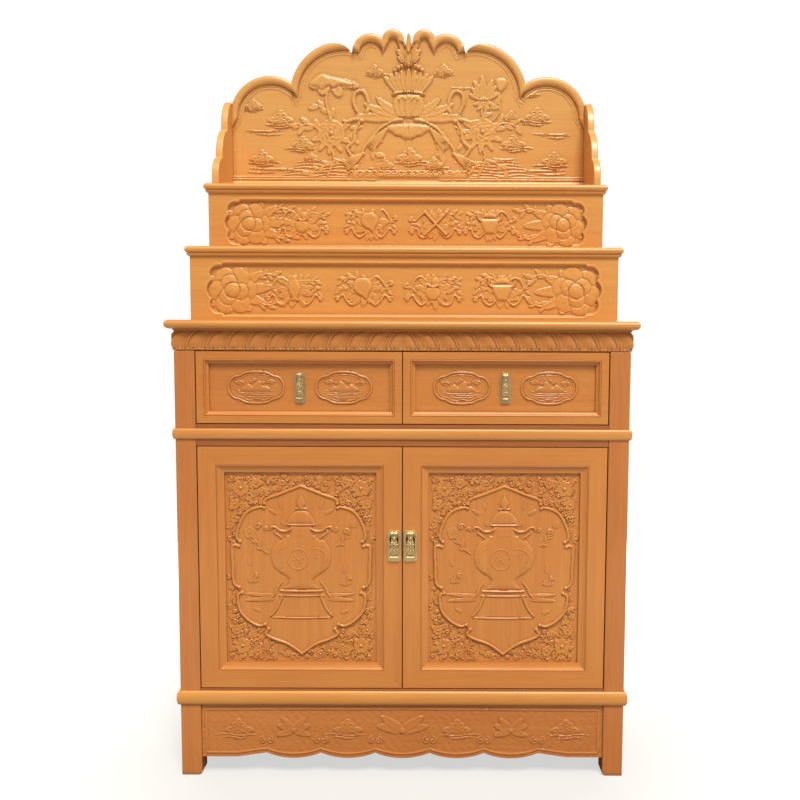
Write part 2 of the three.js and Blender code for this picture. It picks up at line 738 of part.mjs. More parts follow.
const drawerMiddle = drawerBottom + drawerFrontHeight / 2
for (const [side, sign] of [['left', -1], ['right', 1]]) {
  const centre = sign * leafCentre
  const front = sunkFrame(drawerSection(), leafWidth, drawerFrontHeight)
  piece(`drawer_${side}_front`, front, leafWood, centre, bodyFront, drawerMiddle, facingFront)
  piece(`drawer_${side}_panel`, drawerPanel(), leafWood, centre, bodyFront + drawerPanelFace,
    drawerMiddle, facingFront)
  const trayX = centre + (sign * dividerBoard) / 4
  piece(`drawer_${side}_tray`, tray(), innerWood, trayX, trayFront, middleBoardTop + runGap)
  pull(`drawer_${side}_pull`, drawerPullWidth, drawerPullHeight, centre, bodyFront + drawerPanelFace,
    drawerMiddle)
}

// Steps: each a carved riser, two sides and a nosed board
const riserField = 8
const riserRelief = 7
const riserStile = 40
const riserBorder = 16
const bloomRadius = 54
const bloomInset = 102
const treasureSize = 26

// Each riser's sunk cartouche runs nearly the whole width and ends in lobes
function riserOutline(halfWidth, halfHeight) {
  const [w, h] = [halfWidth, halfHeight]
  const end = [[w - 40, h], ...arcThrough([w - 34, h - 6], [w - 14, h - 10], [w - 12, h * 0.36], 3),
    ...arcThrough([w - 12, h * 0.36], [w, 0], [w - 12, -h * 0.36], 4),
    ...arcThrough([w - 12, -h * 0.36], [w - 14, 10 - h], [w - 34, 6 - h], 3), [w - 40, -h]]
  return [...end, ...end.map(([x, y]) => [-x, y]).reverse()]
}

function treasure(x, size) {
  // A ribboned emblem: a round body with a tied ribbon on each side
  const ribbons = bothSides((side) => [
    cord([[x + side * size * 0.4, -size * 0.3], [x + side * size * 1.1, size * 0.6],
      [x + side * size * 1.5, -size * 0.4], [x + side * size * 2.1, size * 0.4]], 5, 3),
  ])
  return [...ribbons, boss(x, 0, size * 0.75, size * 0.85, 5, 4), petal(x, 0, 0, size * 1.2, size * 0.7, 6)]
}

function carvedRiser(width, height, treasures) {
  const half = width / 2
  const cartouche = riserOutline(half - riserStile, height / 2 - riserBorder)
  const slab = toSolid(box(-half, half, -height / 2, height / 2, -riserThickness, 0))
  const sunk = slab.subtract(toSolid(prism(cartouche, riserField + 1, -riserField)))
  const blooms = bothSides((side) => {
    const x = side * (half - bloomInset)
    return [...flower(x, -6, bloomRadius, riserRelief), petal(x - side * 40, 10, side * 60, 62, 26, 4)]
  })
  const carving = [...blooms, ...treasures.flatMap((x) => treasure(x, treasureSize))]
  const raised = join(carving[0], ...carving.slice(1)).translate([0, 0, -riserField])
  const limits = toSolid(prism(cartouche, riserField + 1, -riserField - 1))
  return sunk.add(raised.intersect(limits))
}

const riserTreasures = { lower: [-265, -100, 70, 235], upper: [-275, -90, 75, 205] }
const steps = [
  { name: 'lower', bottom: tableTop, top: lowerStepTop, front: lowerStepFront, width: lowerStepWidth },
  { name: 'upper', bottom: lowerStepTop, top: upperStepTop, front: upperStepFront, width: upperStepWidth },
]
for (const { name, bottom, top, front, width } of steps) {
  const riserWidth = width - 2 * stepOverhang
  const riserHeight = top - bottom - stepBoard - 2 * glueGap
  const riserFront = front + stepOverhang
  const middle = bottom + glueGap + riserHeight / 2
  piece(`${name}_step_riser`, carvedRiser(riserWidth, riserHeight, riserTreasures[name]), screenWood,
    0, riserFront, middle, facingFront)
  for (const [side, sign] of [['left', -1], ['right', 1]]) {
    const outer = (sign * riserWidth) / 2
    const inner = outer - sign * stepSide
    piece(`${name}_step_side_${side}`, box(Math.min(outer, inner), Math.max(outer, inner),
      riserFront + riserThickness + glueGap, back, bottom + glueGap, top - stepBoard - glueGap),
    screenWood, 0, 0, 0)
  }
  const board = nosedBoard(width, back - front, stepBoard, cavettoNose(stepBoard, stepOverhang))
  const slot = box(-screenHalf - glueGap, screenHalf + glueGap, screenFront - glueGap - front,
    back - front + 1, -1, stepBoard + 1)
  piece(`${name}_step_board`, board.subtract(toSolid(slot)), screenWood, 0, front, top - stepBoard)
}

// Back screen: one tall board, lobed above, from the tabletop up behind the steps
const lobeEdge = 255
const lobes = [
  { from: [screenHalf, lobeEdge], via: [377, 329.5], steps: 7 },
  { from: [319, 313], via: [288, 372], steps: 4 },
  { from: [243, 406.5], via: [208, 416.5], steps: 4 },
  { from: [153.7, 393], via: [97.3, 442.5], steps: 5 },
  { from: [71.8, 432.5], via: [38.1, 453.7], steps: 4 },
]
const lobeNotch = [12.5, 431]
const finial = [[11, 416], [5, 420], [7.5, 433], [0, 444.3]]

function lobePoints(chosen, last) {
  return chosen.flatMap(({ from, via, steps: count }, i) => {
    const next = i + 1 < chosen.length ? chosen[i + 1].from : last
    return arcThrough(from, via, next, count)
  })
}

function screenOutline() {
  // Measured from the upper step's top; the foot is wider under the lower step
  const lowerTop = lowerStepTop - stepBoard - glueGap - upperStepTop
  const footHalf = lowerStepWidth / 2 - stepOverhang - stepSide - glueGap
  const foot = tableTop + glueGap - upperStepTop
  const rightHalf = [[footHalf, foot], [footHalf, lowerTop], [screenHalf, lowerTop],
    ...lobePoints(lobes, lobeNotch), lobeNotch, ...finial]
  return mirrored(rightHalf.reverse())
}

function screenField() {
  // The field keeps clear of the small lobes and the finial over the lotus
  const crown = [30, 400]
  const upper = [[screenHalf, screenRailTop - screenBorder], ...lobePoints(lobes.slice(0, 4), [71.8, 432.5]),
    [71.8, 432.5]]
  const field = inset(mirrored([[0, 432.5], ...upper.reverse()]), screenBorder)
  return field.filter(([x, y]) => Math.abs(x) > crown[0] || y < crown[1])
}

function lotus() {
  // The great lotus in the middle, with its crown of seeds and petals
  return [
    boss(0, 243, 42, 40, 11, 4),
    ...bothSides((side) => [
      petal(side * 8, 205, side * 35, 92, 40, 7),
      petal(side * 14, 200, side * 62, 100, 36, 6),
      petal(side * 20, 196, side * 88, 96, 26, 5),
    ]),
    boss(0, 285, 40, 8, 9),
    ...fan(0, 288, 7, 110, 74, 20, 7),
    ...[-30, -10, 10, 30].map((x) => boss(x, 360 + 6 * Math.cos(x / 16), 10, 9, 8)),
    ...fan(0, 362, 5, 100, 60, 18, 6),
    petal(0, 376, 0, 68, 15, 8),
  ]
}

function ribbonsAndBlooms() {
  const ribbon = (side) => [
    cord([[side * 20, 186], [side * 90, 196], [side * 140, 182], [side * 176, 196]], 9, 5),
    cord([[side * 60, 182], [side * 84, 150], [side * 118, 120], [side * 158, 108]], 12, 5),
    cord([[side * 130, 250], [side * 152, 222], [side * 146, 190], [side * 164, 150]], 9, 4),
  ]
  return [
    ...bothSides(ribbon),
    ...flower(-213, 172, 38, 6),
    ...flower(203, 182, 36, 6),
    petal(-225, 290, 80, 66, 34, 5),
    petal(-225, 290, -80, 70, 34, 5),
    boss(-225, 300, 36, 22, 7, 4),
    ...fan(210, 264, 5, 150, 62, 22, 7),
    boss(210, 312, 22, 18, 7, 4),
    cord([[-225, 284], [-240, 250], [-236, 214], [-222, 190]], 6, 3),
    cord([[222, 270], [244, 246], [242, 214], [222, 196]], 6, 3),
  ]
}

function cloudsAndWater() {
  const streak = (x, y, length) => cord([[x - length, y], [x - length / 3, y + 4], [x + length / 3, y - 2],
    [x + length, y + 2]], 5, 2.5)
  const banks = [[-372, 205, 36], [-402, 104, 34], [-282, 140, 30], [352, 220, 36], [300, 172, 28],
    [412, 108, 32]]
  const waves = [-68, 0, 68].map((x) => boss(x, 84, 40, 22, 4))
  return [
    ...banks.flatMap(([x, y, size]) => cloud(x, y, size, 5)),
    streak(-390, 182, 62),
    streak(392, 186, 60),
    streak(-330, 70, 90),
    streak(340, 72, 90),
    ...waves,
  ]
}

function backScreen() {
  const board = toSolid(prism(screenOutline(), screenThickness, -screenThickness))
  const field = screenField()
  const sunk = board.subtract(toSolid(prism(field, screenFieldDepth + 1, -screenFieldDepth)))
  const carving = [...ribbonsAndBlooms(), ...cloudsAndWater(), ...lotus()]
  const raised = join(carving[0], ...carving.slice(1)).translate([0, 0, -screenFieldDepth])
  const outlineLimit = toSolid(prism(screenOutline(), screenThickness, -screenThickness / 2))
  return sunk.add(raised.intersect(outlineLimit))
}

piece('back_screen', backScreen(), screenWood, 0, screenFront, upperStepTop, facingFront)

// Wings at the screen's ends: side boards that step forward and down in three scallops
function wingOutline() {
  const front = 54
  const top = lobeEdge + 1
  const toe = [front, 22]
  return [
    [back, 0],
    [back, top],
    ...arcThrough([206, top], [170, 222], [157, 170], 5),
    ...arcThrough([157, 170], [114, 138], [96, 84], 5),
    ...arcThrough([96, 84], [66, 64], toe, 4),
    toe,
    [front, 0],
  ]
}

for (const [side, x] of [['left', -screenHalf - glueGap - wingThickness], ['right', screenHalf + glueGap]]) {
  piece(`wing_${side}`, prism(wingOutline(), wingThickness), screenWood, x, 0, upperStepTop + glueGap,
    sectionAlongX)
}

export default cabinet
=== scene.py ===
# %% [markdown]
# # A carved altar cabinet in lacquered wood
#
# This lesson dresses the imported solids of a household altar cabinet: a case with two doors and two
# drawers, two steps for offerings and a lobed back screen. The construction is fixed. What is made
# here is what the eye sees: rounded edges, mouldings, deep carving, lacquered wood and brass.

# %% Load the fixed frame
import json
import math

import bpy
import numpy as np
from mathutils import Matrix, Vector


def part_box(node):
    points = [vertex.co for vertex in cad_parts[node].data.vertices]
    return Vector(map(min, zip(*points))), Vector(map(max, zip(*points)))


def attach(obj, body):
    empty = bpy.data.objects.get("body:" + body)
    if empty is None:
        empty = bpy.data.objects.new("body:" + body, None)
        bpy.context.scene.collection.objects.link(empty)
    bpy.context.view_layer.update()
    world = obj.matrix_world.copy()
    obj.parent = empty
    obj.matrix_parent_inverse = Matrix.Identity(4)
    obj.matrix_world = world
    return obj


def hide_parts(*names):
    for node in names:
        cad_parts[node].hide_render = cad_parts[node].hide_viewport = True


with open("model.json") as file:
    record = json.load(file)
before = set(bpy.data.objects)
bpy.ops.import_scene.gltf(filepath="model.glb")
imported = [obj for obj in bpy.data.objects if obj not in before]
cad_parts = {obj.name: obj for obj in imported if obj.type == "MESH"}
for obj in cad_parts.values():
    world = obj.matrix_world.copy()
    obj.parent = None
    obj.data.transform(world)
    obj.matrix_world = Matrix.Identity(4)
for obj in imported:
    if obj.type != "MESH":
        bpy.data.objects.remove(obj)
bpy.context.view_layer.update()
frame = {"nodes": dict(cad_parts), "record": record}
record = frame["record"]
home = {node: body for body, nodes in record["behaviour"]["bodies"].items() for node in nodes}
MM = 0.001

# %% [markdown]
# ## Camera
#
# The photograph was taken from the front, a little below the tabletop's height, with the camera
# tipped slightly down. The same view comes from one camera whose shift frames the picture.

# %% Set up the camera
image_width = 800
focal_pixels = 849
centre_right = 34.9
centre_down = 28.6


def turned_camera(pitch, yaw, roll):
    """The turn of a camera that looks along +y, is tipped down by pitch and leans by roll."""
    forward = Vector((math.sin(yaw) * math.cos(pitch), math.cos(yaw) * math.cos(pitch), -math.sin(pitch)))
    right = Vector((math.cos(yaw), -math.sin(yaw), 0))
    up = right.cross(forward)
    rolled_right = right * math.cos(roll) - up * math.sin(roll)
    rolled_up = right * math.sin(roll) + up * math.cos(roll)
    return Matrix((rolled_right, rolled_up, -forward)).transposed().to_4x4()


bpy.ops.object.camera_add()
camera = bpy.context.object
camera.name = "front_camera"
camera.matrix_world = Matrix.Translation((0.070, -2.171, 0.985)) @ turned_camera(
    math.radians(4.56), math.radians(0.14), math.radians(-0.22)
)
camera.data.sensor_width = 36
camera.data.lens = focal_pixels * camera.data.sensor_width / image_width
camera.data.shift_x = -centre_right / image_width
camera.data.shift_y = centre_down / image_width
camera.data.clip_end = 100
bpy.context.scene.camera = camera
print("lens in millimetres:", round(camera.data.lens, 2))

# %% [markdown]
# ## Light and floor
#
# A product picture has light from large soft boxes: a strong one above and in front, so the tops
# of the mouldings shine and their undersides fall dark, and weak ones at the sides and behind. A
# sun with a wide angle stands in for the strong one, because its light is even over the whole
# height of the cabinet. The floor and the surroundings are nearly white.


# %% Helpers for objects, colours and nodes
def new_object(name, data):
    """A new object that holds some data, put into the scene."""
    made = bpy.data.objects.new(name, data)
    bpy.context.scene.collection.objects.link(made)
    return made


def new_material(name):
    """A new material with its node tree and its shader."""
    material = bpy.data.materials.new(name)
    material.use_nodes = True
    tree = material.node_tree
    return material, tree, tree.nodes["Principled BSDF"]


def linear(hex_colour):
    """An sRGB hex colour as the linear one that Blender mixes."""
    channels = [int(hex_colour[i : i + 2], 16) / 255 for i in (1, 3, 5)]
    return [c / 12.92 if c <= 0.04045 else ((c + 0.055) / 1.055) ** 2.4 for c in channels] + [1.0]


def add_node(tree, kind, inputs=None, **settings):
    """A node with its settings; an input is linked if it is a socket, and otherwise set."""
    made = tree.nodes.new(kind)
    for name, value in settings.items():
        setattr(made, name, value)
    for name, value in (inputs or {}).items():
        if isinstance(value, bpy.types.NodeSocket):
            tree.links.new(value, made.inputs[name])
        else:
            made.inputs[name].default_value = value
    return made


# %% Lights, surroundings and floor
def shine(name, kind, energy, aim, place=(0, 0, 0), **settings):
    """A lamp of one kind that points along aim."""
    light = bpy.data.lights.new(name, kind)
    light.energy = energy
    for setting, value in settings.items():
        setattr(light, setting, value)
    lamp = new_object(name, light)
    lamp.location = place
    lamp.rotation_euler = Vector(aim).to_track_quat("-Z", "Y").to_euler()


warm_white = linear("#FFFAEA")[:3]
shine("high_front_light", "SUN", 3.75, (-0.12, 0.58, -1.0), angle=math.radians(22), color=warm_white)
for name, watts, place, middle, width, height in (
    ("left_fill_light", 2, (-3.0, -2.4, 1.4), (0, 0, 0.8), 1.6, 2.2),
    ("right_fill_light", 14, (3.0, -2.6, 1.2), (0, 0, 0.8), 1.6, 2.2),
    ("back_fill_light", 40, (0.4, 3.2, 2.4), (0, 0, 0.9), 2.4, 1.6),
):
    aim = Vector(middle) - Vector(place)
    shine(name, "AREA", watts, aim, place, shape="RECTANGLE", size=width, size_y=height)

# The paper behind the cabinet is pure white in the picture, but it lights the wood only weakly
ambient = 0.30
seen_white = 1.05
world = bpy.data.worlds.new("white_studio")
bpy.context.scene.world = world
world.use_nodes = True
sky = world.node_tree
seen = add_node(sky, "ShaderNodeLightPath").outputs["Is Camera Ray"]
levels = {"Value": seen, "To Min": ambient, "To Max": seen_white}
strength = add_node(sky, "ShaderNodeMapRange", levels).outputs["Result"]
sky.links.new(strength, sky.nodes["Background"].inputs["Strength"])
sky.nodes["Background"].inputs["Color"].default_value = linear("#FFFFFF")

# Plain colour management keeps the lacquer's hues, which a film-like one would pale
bpy.context.scene.view_settings.view_transform = "Standard"

# The paper under it glows a little where the camera sees it, so it stays white and keeps a faint
# shadow; it is greyer near the feet than far away
floor_radius = 2.7
paper_glow = 0.62
bpy.ops.mesh.primitive_circle_add(vertices=96, radius=floor_radius, fill_type="NGON")
floor = bpy.context.object
floor.name = "studio_floor"
paper, sheet, paper_shader = new_material("MattWhitePaper")
place = add_node(sheet, "ShaderNodeTexCoord").outputs["Object"]
reach = add_node(sheet, "ShaderNodeVectorMath", {0: place}, operation="LENGTH").outputs["Value"]
spread = {"Value": reach, "From Min": 0.5, "From Max": 2.2}
away = add_node(sheet, "ShaderNodeMapRange", spread).outputs["Result"]
greys = {"Factor": away, 6: linear("#7D7A76"), 7: linear("#F6F6F5")}
tint = add_node(sheet, "ShaderNodeMix", greys, data_type="RGBA").outputs[2]
sheet.links.new(tint, paper_shader.inputs["Base Color"])
paper_shader.inputs["Roughness"].default_value = 0.9
paper_shader.inputs["Emission Color"].default_value = linear("#FFFFFF")
direct = add_node(sheet, "ShaderNodeLightPath").outputs["Is Camera Ray"]
glow = add_node(sheet, "ShaderNodeMath", {0: direct, 1: paper_glow}, operation="MULTIPLY").outputs["Value"]
sheet.links.new(glow, paper_shader.inputs["Emission Strength"])
floor.data.materials.append(paper)
print(len(bpy.data.lights), "lights round a floor", 2 * floor_radius, "m across")

# %% [markdown]
# ## Lacquered wood
#
# The wood is pale and close grained, stained honey-orange and sealed with a clear satin lacquer.
# Three things make it read as wood: fibres a few millimetres apart that run along each board,
# slow changes of tone over a hand's width, and boards that were glued edge to edge and differ a
# little. Carved pieces carry an attribute that says how hollow each point is. With it the hollows
# are painted darker, partly for stain that gathers there and partly as painted shade, and the
# crests are painted paler as a painted highlight. The corners of every piece get painted shade too.


# %% Make a lacquered wood
def lacquered_wood(name, pale, rich, deep, along, board=0.11, shift=0.0, roughness=0.42, lacquer=0.25,
                   corner=0.45):
    """Wood in three tones with its grain along one axis; corner is the strength of the painted shade in its
    corners.
    """
    material, tree, shader = new_material(name)
    place = add_node(tree, "ShaderNodeTexCoord").outputs["Object"]
    drawn_out = 0.035
    stretch = [drawn_out if axis == along else 1.0 for axis in "XYZ"]
    moved = {"Vector": place, "Location": (shift, shift * 2, shift * 3), "Scale": stretch}
    fibres = add_node(tree, "ShaderNodeMapping", moved).outputs["Vector"]

    # Fibres 4 mm apart, figure 42 mm apart and clouds of tone 0.32 m apart
    noises, parts = [], []
    for source, gap, low, most, settings in (
        (fibres, 4 * MM, 0.35, 0.46, {"Detail": 5.0, "Roughness": 0.65, "Distortion": 0.4}),
        (fibres, 42 * MM, 0.3, 0.36, {"Detail": 3.0, "Roughness": 0.5, "Distortion": 1.2}),
        (place, 320 * MM, 0.3, 0.24, {"Detail": 2.0}),
    ):
        settings = {"Vector": source, "Scale": 1 / gap, **settings}
        noises.append(add_node(tree, "ShaderNodeTexNoise", settings).outputs["Fac"])
        share = {"Value": noises[-1], "From Min": low, "From Max": 0.7, "To Max": most}
        parts.append(add_node(tree, "ShaderNodeMapRange", share).outputs["Result"])
    fibre, figure, _ = noises

    # Boards glued edge to edge: one random tone for each board's width across the grain
    across = {"X": "Z", "Y": "X", "Z": "X"}[along]
    apart = add_node(tree, "ShaderNodeSeparateXYZ", {"Vector": place}).outputs[across]
    stepped = add_node(tree, "ShaderNodeMath", {0: apart, 1: board}, operation="SNAP").outputs["Value"]
    number = add_node(tree, "ShaderNodeMath", {0: stepped, 1: shift + 0.37}, operation="ADD").outputs["Value"]
    tone = add_node(tree, "ShaderNodeTexWhiteNoise", {"W": number}, noise_dimensions="1D").outputs["Value"]
    parts.append(add_node(tree, "ShaderNodeMath", {0: tone, 1: 0.16}, operation="MULTIPLY").outputs["Value"])
    total = parts[0]
    for part in parts[1:]:
        total = add_node(tree, "ShaderNodeMath", {0: total, 1: part}, operation="ADD").outputs["Value"]
    tones = {"Factor": total, 6: linear(pale), 7: linear(rich)}
    body = add_node(tree, "ShaderNodeMix", tones, data_type="RGBA").outputs[2]

    # Painted shade in the corners, stain and painted shade in the hollows, and a painted highlight on the
    # crests
    corner_shade_reach = 22 * MM
    openness = add_node(tree, "ShaderNodeAmbientOcclusion", {"Distance": corner_shade_reach},
                        samples=6).outputs["AO"]
    hollow = add_node(tree, "ShaderNodeAttribute", attribute_name="hollow").outputs["Fac"]
    for value, low, high, most, colour in (
        (openness, 0.75, 0.2, corner, deep),
        (hollow, 0.05, 1.0, 0.34, deep),
        (hollow, -0.05, -1.0, 0.5, pale),
    ):
        share = {"Value": value, "From Min": low, "From Max": high, "To Max": most}
        amount = add_node(tree, "ShaderNodeMapRange", share).outputs["Result"]
        tones = {"Factor": amount, 6: body, 7: linear(colour)}
        body = add_node(tree, "ShaderNodeMix", tones, data_type="RGBA").outputs[2]
    tree.links.new(body, shader.inputs["Base Color"])

    spread = {"Value": figure, "To Min": roughness - 0.05, "To Max": roughness + 0.08}
    gloss = add_node(tree, "ShaderNodeMapRange", spread).outputs["Result"]
    tree.links.new(gloss, shader.inputs["Roughness"])
    ridges = {"Height": fibre, "Strength": 0.12, "Distance": 0.25 * MM}
    grain = add_node(tree, "ShaderNodeBump", ridges).outputs["Normal"]
    tree.links.new(grain, shader.inputs["Normal"])
    for socket, value in (("IOR", 1.5), ("Coat Weight", lacquer), ("Coat Roughness", 0.2)):
        shader.inputs[socket].default_value = value
    return material


# The step and screen tones are paler than the case's as painted light, which brightens the upper parts as a
# lamp close above would. The moulding tones are paler as painted light on their lit tops. The rail tones are
# darker as painted shade under the mouldings.
case_tones = ("#CC8240", "#B5682D", "#5C220A")
band_tones_painted_light = ("#DA9A4C", "#CA803A", "#6E300F")
rail_tones_painted_shade = ("#B0692F", "#955022", "#4E1C09")
leaf_tones = ("#D18A40", "#BF7130", "#692B0D")
step_tones_painted_light = ("#E2A456", "#D38B40", "#85421A")
screen_tones_painted_light = ("#E5AF64", "#D8964C", "#90501F")
# Case and rail pieces take the strongest painted shade in their corners
wood = {
    "case_upright": lacquered_wood("CarcassWoodUpright", *case_tones, "Z", shift=0.3, corner=0.9),
    "case_level": lacquered_wood("CarcassWoodLevel", *case_tones, "X", shift=1.7, corner=0.9),
    "case_deep": lacquered_wood("CarcassWoodFrontToBack", *case_tones, "Y", shift=2.9),
    "band_level": lacquered_wood("MouldingWoodLevelPaintedLight", *band_tones_painted_light, "X", shift=3.3),
    "band_deep": lacquered_wood("MouldingWoodFrontToBackPaintedLight", *band_tones_painted_light, "Y", shift=3.7),
    "rail_level": lacquered_wood("RailWoodLevelPaintedShade", *rail_tones_painted_shade, "X", shift=4.3, corner=0.9),
    "leaf_upright": lacquered_wood("DoorWoodUpright", *leaf_tones, "Z", shift=4.1),
    "leaf_level": lacquered_wood("DoorWoodLevel", *leaf_tones, "X", shift=5.3),
    "step_level": lacquered_wood("StepWoodLevelPaintedLight", *step_tones_painted_light, "X", shift=6.1),
    "step_deep": lacquered_wood("StepWoodFrontToBackPaintedLight", *step_tones_painted_light, "Y", shift=7.7),
    "screen_level": lacquered_wood("ScreenWoodLevelPaintedLight", *screen_tones_painted_light, "X", shift=8.5, board=0.14),
    "screen_upright": lacquered_wood("ScreenWoodUprightPaintedLight", *screen_tones_painted_light, "Z", shift=9.9),
    "inner": lacquered_wood("SealedInnerWood", "#DDB27A", "#C69257", "#8A5A2B", "X", roughness=0.6,
                            lacquer=0.0),
}

print("lacquered woods:", ", ".join(wood))

# %% [markdown]
# ## Soft edges
#
# A joiner breaks every sharp edge before lacquering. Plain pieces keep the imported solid's form:
# the piece is a merged copy of it, with each edge rounded by a Bevel modifier.


# %% Helpers that make and place a piece
def clear_selection():
    """Nothing selected, in object mode."""
    if bpy.context.mode != "OBJECT":
        bpy.ops.object.mode_set(mode="OBJECT")
    bpy.ops.object.select_all(action="DESELECT")


def activate(piece):
    """Only this piece selected, and active."""
    clear_selection()
    piece.select_set(True)
    bpy.context.view_layer.objects.active = piece


def dress(piece, material, *nodes):
    """The piece takes the place of these nodes, on their body and in their material slot."""
    piece.data.materials.clear()
    piece.data.materials.append(material)
    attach(piece, home[nodes[0]])
    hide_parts(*nodes)
    return piece


def settle(made):
    """The place, turn and size of a new object go into its mesh."""
    made.data.transform(made.matrix_basis)
    made.matrix_basis.identity()
    return made


def join_onto(piece, *parts):
    """Other parts become one with a dressed piece and take its material."""
    clear_selection()
    for part in parts:
        part.data.materials.clear()
        for material in piece.data.materials:
            part.data.materials.append(material)
        part.select_set(True)
    piece.select_set(True)
    bpy.context.view_layer.objects.active = piece
    bpy.ops.object.join()
    return piece


def block(x, y, z):
    """A plain block between two places on each axis, in millimetres."""
    middle = [sum(pair) / 2 * MM for pair in (x, y, z)]
    size = [(pair[1] - pair[0]) * MM for pair in (x, y, z)]
    bpy.ops.mesh.primitive_cube_add(size=1, location=middle, scale=size)
    return settle(bpy.context.object)


def smooth(piece, angle):
    """Shade the small curved faces smoothly and keep the large flat ones flat."""
    activate(piece)
    bpy.ops.object.shade_smooth_by_angle(angle=math.radians(angle))
    weighted = piece.modifiers.new("flat_faces_stay_flat", "WEIGHTED_NORMAL")
    weighted.keep_sharp = True
    weighted.weight = 80
    bpy.ops.object.modifier_apply(modifier=weighted.name)


def round_edges(piece, width, segments):
    """A rounding of the given width in millimetres along each sharp edge."""
    activate(piece)
    bevel = piece.modifiers.new("rounded_edges", "BEVEL")
    bevel.width = width * MM
    bevel.segments = segments
    bevel.limit_method = "ANGLE"
    bevel.angle_limit = math.radians(30)
    bpy.ops.object.modifier_apply(modifier=bevel.name)
    smooth(piece, 40)


def softened(node, material, width, segments=3):
    """A merged copy of a plain node with rounded edges, dressed in its place."""
    piece = new_object(f"{node}_rounded", frame["nodes"][node].data.copy())
    activate(piece)
    bpy.ops.object.mode_set(mode="EDIT")
    bpy.ops.mesh.select_all(action="SELECT")
    bpy.ops.mesh.remove_doubles(threshold=0.005 * MM)
    bpy.ops.mesh.dissolve_limited(angle_limit=math.radians(0.5))
    bpy.ops.object.mode_set(mode="OBJECT")
    round_edges(piece, width, segments)
    dress(piece, material, node)


# %% Round the plain pieces
for end in ("front", "back"):
    for side in ("left", "right"):
        softened(f"post_{end}_{side}", wood["case_upright"], 2.5)
# The rails take the darker tones that paint the shade under the mouldings
for node in ("waist_rail", "base_rail"):
    softened(node, wood["rail_level"], 1.2)
for side in ("left", "right"):
    softened(f"side_panel_{side}", wood["case_upright"], 1.5)
    softened(f"lower_step_side_{side}", wood["step_deep"], 1.2)
    softened(f"upper_step_side_{side}", wood["step_deep"], 1.2)
    softened(f"drawer_{side}_tray", wood["inner"], 1.0, 2)
softened("cabinet_back_panel", wood["case_upright"], 1.0, 2)
for node in ("bottom_board", "middle_board", "drawer_divider"):
    softened(node, wood["inner"], 1.0, 2)
print("rounded pieces made")

# %% [markdown]
# ## Carved relief
#
# The panels, the screen and the aprons are carved in low relief. A carver draws the motifs on the
# board, sinks the ground round them, rounds each one over and cuts its veins and grooves. No
# modelling operator does that, so here a carving is worked out as heights over a fine grid: each
# motif is laid over what is already there, with its own rounded section and a small channel
# sunk round its edge. All lengths are in millimetres, with x to the right and y upwards.


# %% Paths of a carving
def flowing(points, closed=False, spacing=2.5):
    """A smooth path through a few marked points."""
    marks = np.array(points, float)
    if closed:
        marks = np.vstack([marks[-1], marks, marks[0], marks[1]])
    else:
        marks = np.vstack([2 * marks[0] - marks[1], marks, 2 * marks[-1] - marks[-2]])
    path = []
    for a, b, c, d in zip(marks[:-3], marks[1:-2], marks[2:-1], marks[3:]):
        steps = max(2, int(np.hypot(*(c - b)) / spacing))
        t = np.linspace(0, 1, steps, endpoint=False)[:, None]
        path.append(b + 0.5 * (c - a) * t + (a - 2.5 * b + 2 * c - 0.5 * d) * t**2
                    + (1.5 * b - 0.5 * a - 1.5 * c + 0.5 * d) * t**3)
    path.append(marks[-2][None])
    return np.vstack(path)


def arc_through(start, middle, end, spacing=3.0):
    """The arc of a circle through three points."""
    (cx, cy), radius = circle_through(start, middle, end)
    angles = [math.atan2(y - cy, x - cx) for x, y in (start, middle, end)]
    for k in (1, 2):
        while angles[k] - angles[k - 1] > math.pi:
            angles[k] -= 2 * math.pi
        while angles[k] - angles[k - 1] < -math.pi:
            angles[k] += 2 * math.pi
    steps = max(3, int(abs(angles[2] - angles[0]) * radius / spacing))
    turn = np.linspace(angles[0], angles[2], steps)
    return np.stack([cx + radius * np.cos(turn), cy + radius * np.sin(turn)], axis=1)


def circle_through(start, middle, end):
    """Centre and radius of the circle through three points."""
    (ax, ay), (bx, by), (cx, cy) = start, middle, end
    scale = 2 * (ax * (by - cy) + bx * (cy - ay) + cx * (ay - by))
    a2, b2, c2 = ax**2 + ay**2, bx**2 + by**2, cx**2 + cy**2
    x = (a2 * (by - cy) + b2 * (cy - ay) + c2 * (ay - by)) / scale
    y = (a2 * (cx - bx) + b2 * (ax - cx) + c2 * (bx - ax)) / scale
    return (x, y), math.hypot(ax - x, ay - y)


def handed(sign, points):
    """Points as they are for sign 1, and mirrored left to right for sign -1."""
    return [(sign * x, y) for x, y in points]


def placed(points, at, turn=0.0, size=1.0, flip=1):
    """Points of a motif, flipped left to right if asked, turned and moved to its place."""
    marks = np.array(points, float) * size * np.array([flip, 1])
    c, s = math.cos(math.radians(turn)), math.sin(math.radians(turn))
    return marks @ np.array([[c, s], [-s, c]]) + np.array(at, float)


def curl_path(centre, radius, turns=1.1, start=90.0, hand=1, inner=0.22, spacing=1.6):
    """A spiral that winds in to a small eye."""
    steps = max(10, int(turns * 2 * math.pi * radius * 0.6 / spacing))
    t = np.linspace(0, 1, steps)
    angle = math.radians(start) + hand * turns * 2 * math.pi * t
    reach = radius * (1 - (1 - inner) * t**0.85)
    return np.stack([centre[0] + reach * np.cos(angle), centre[1] + reach * np.sin(angle)], axis=1)


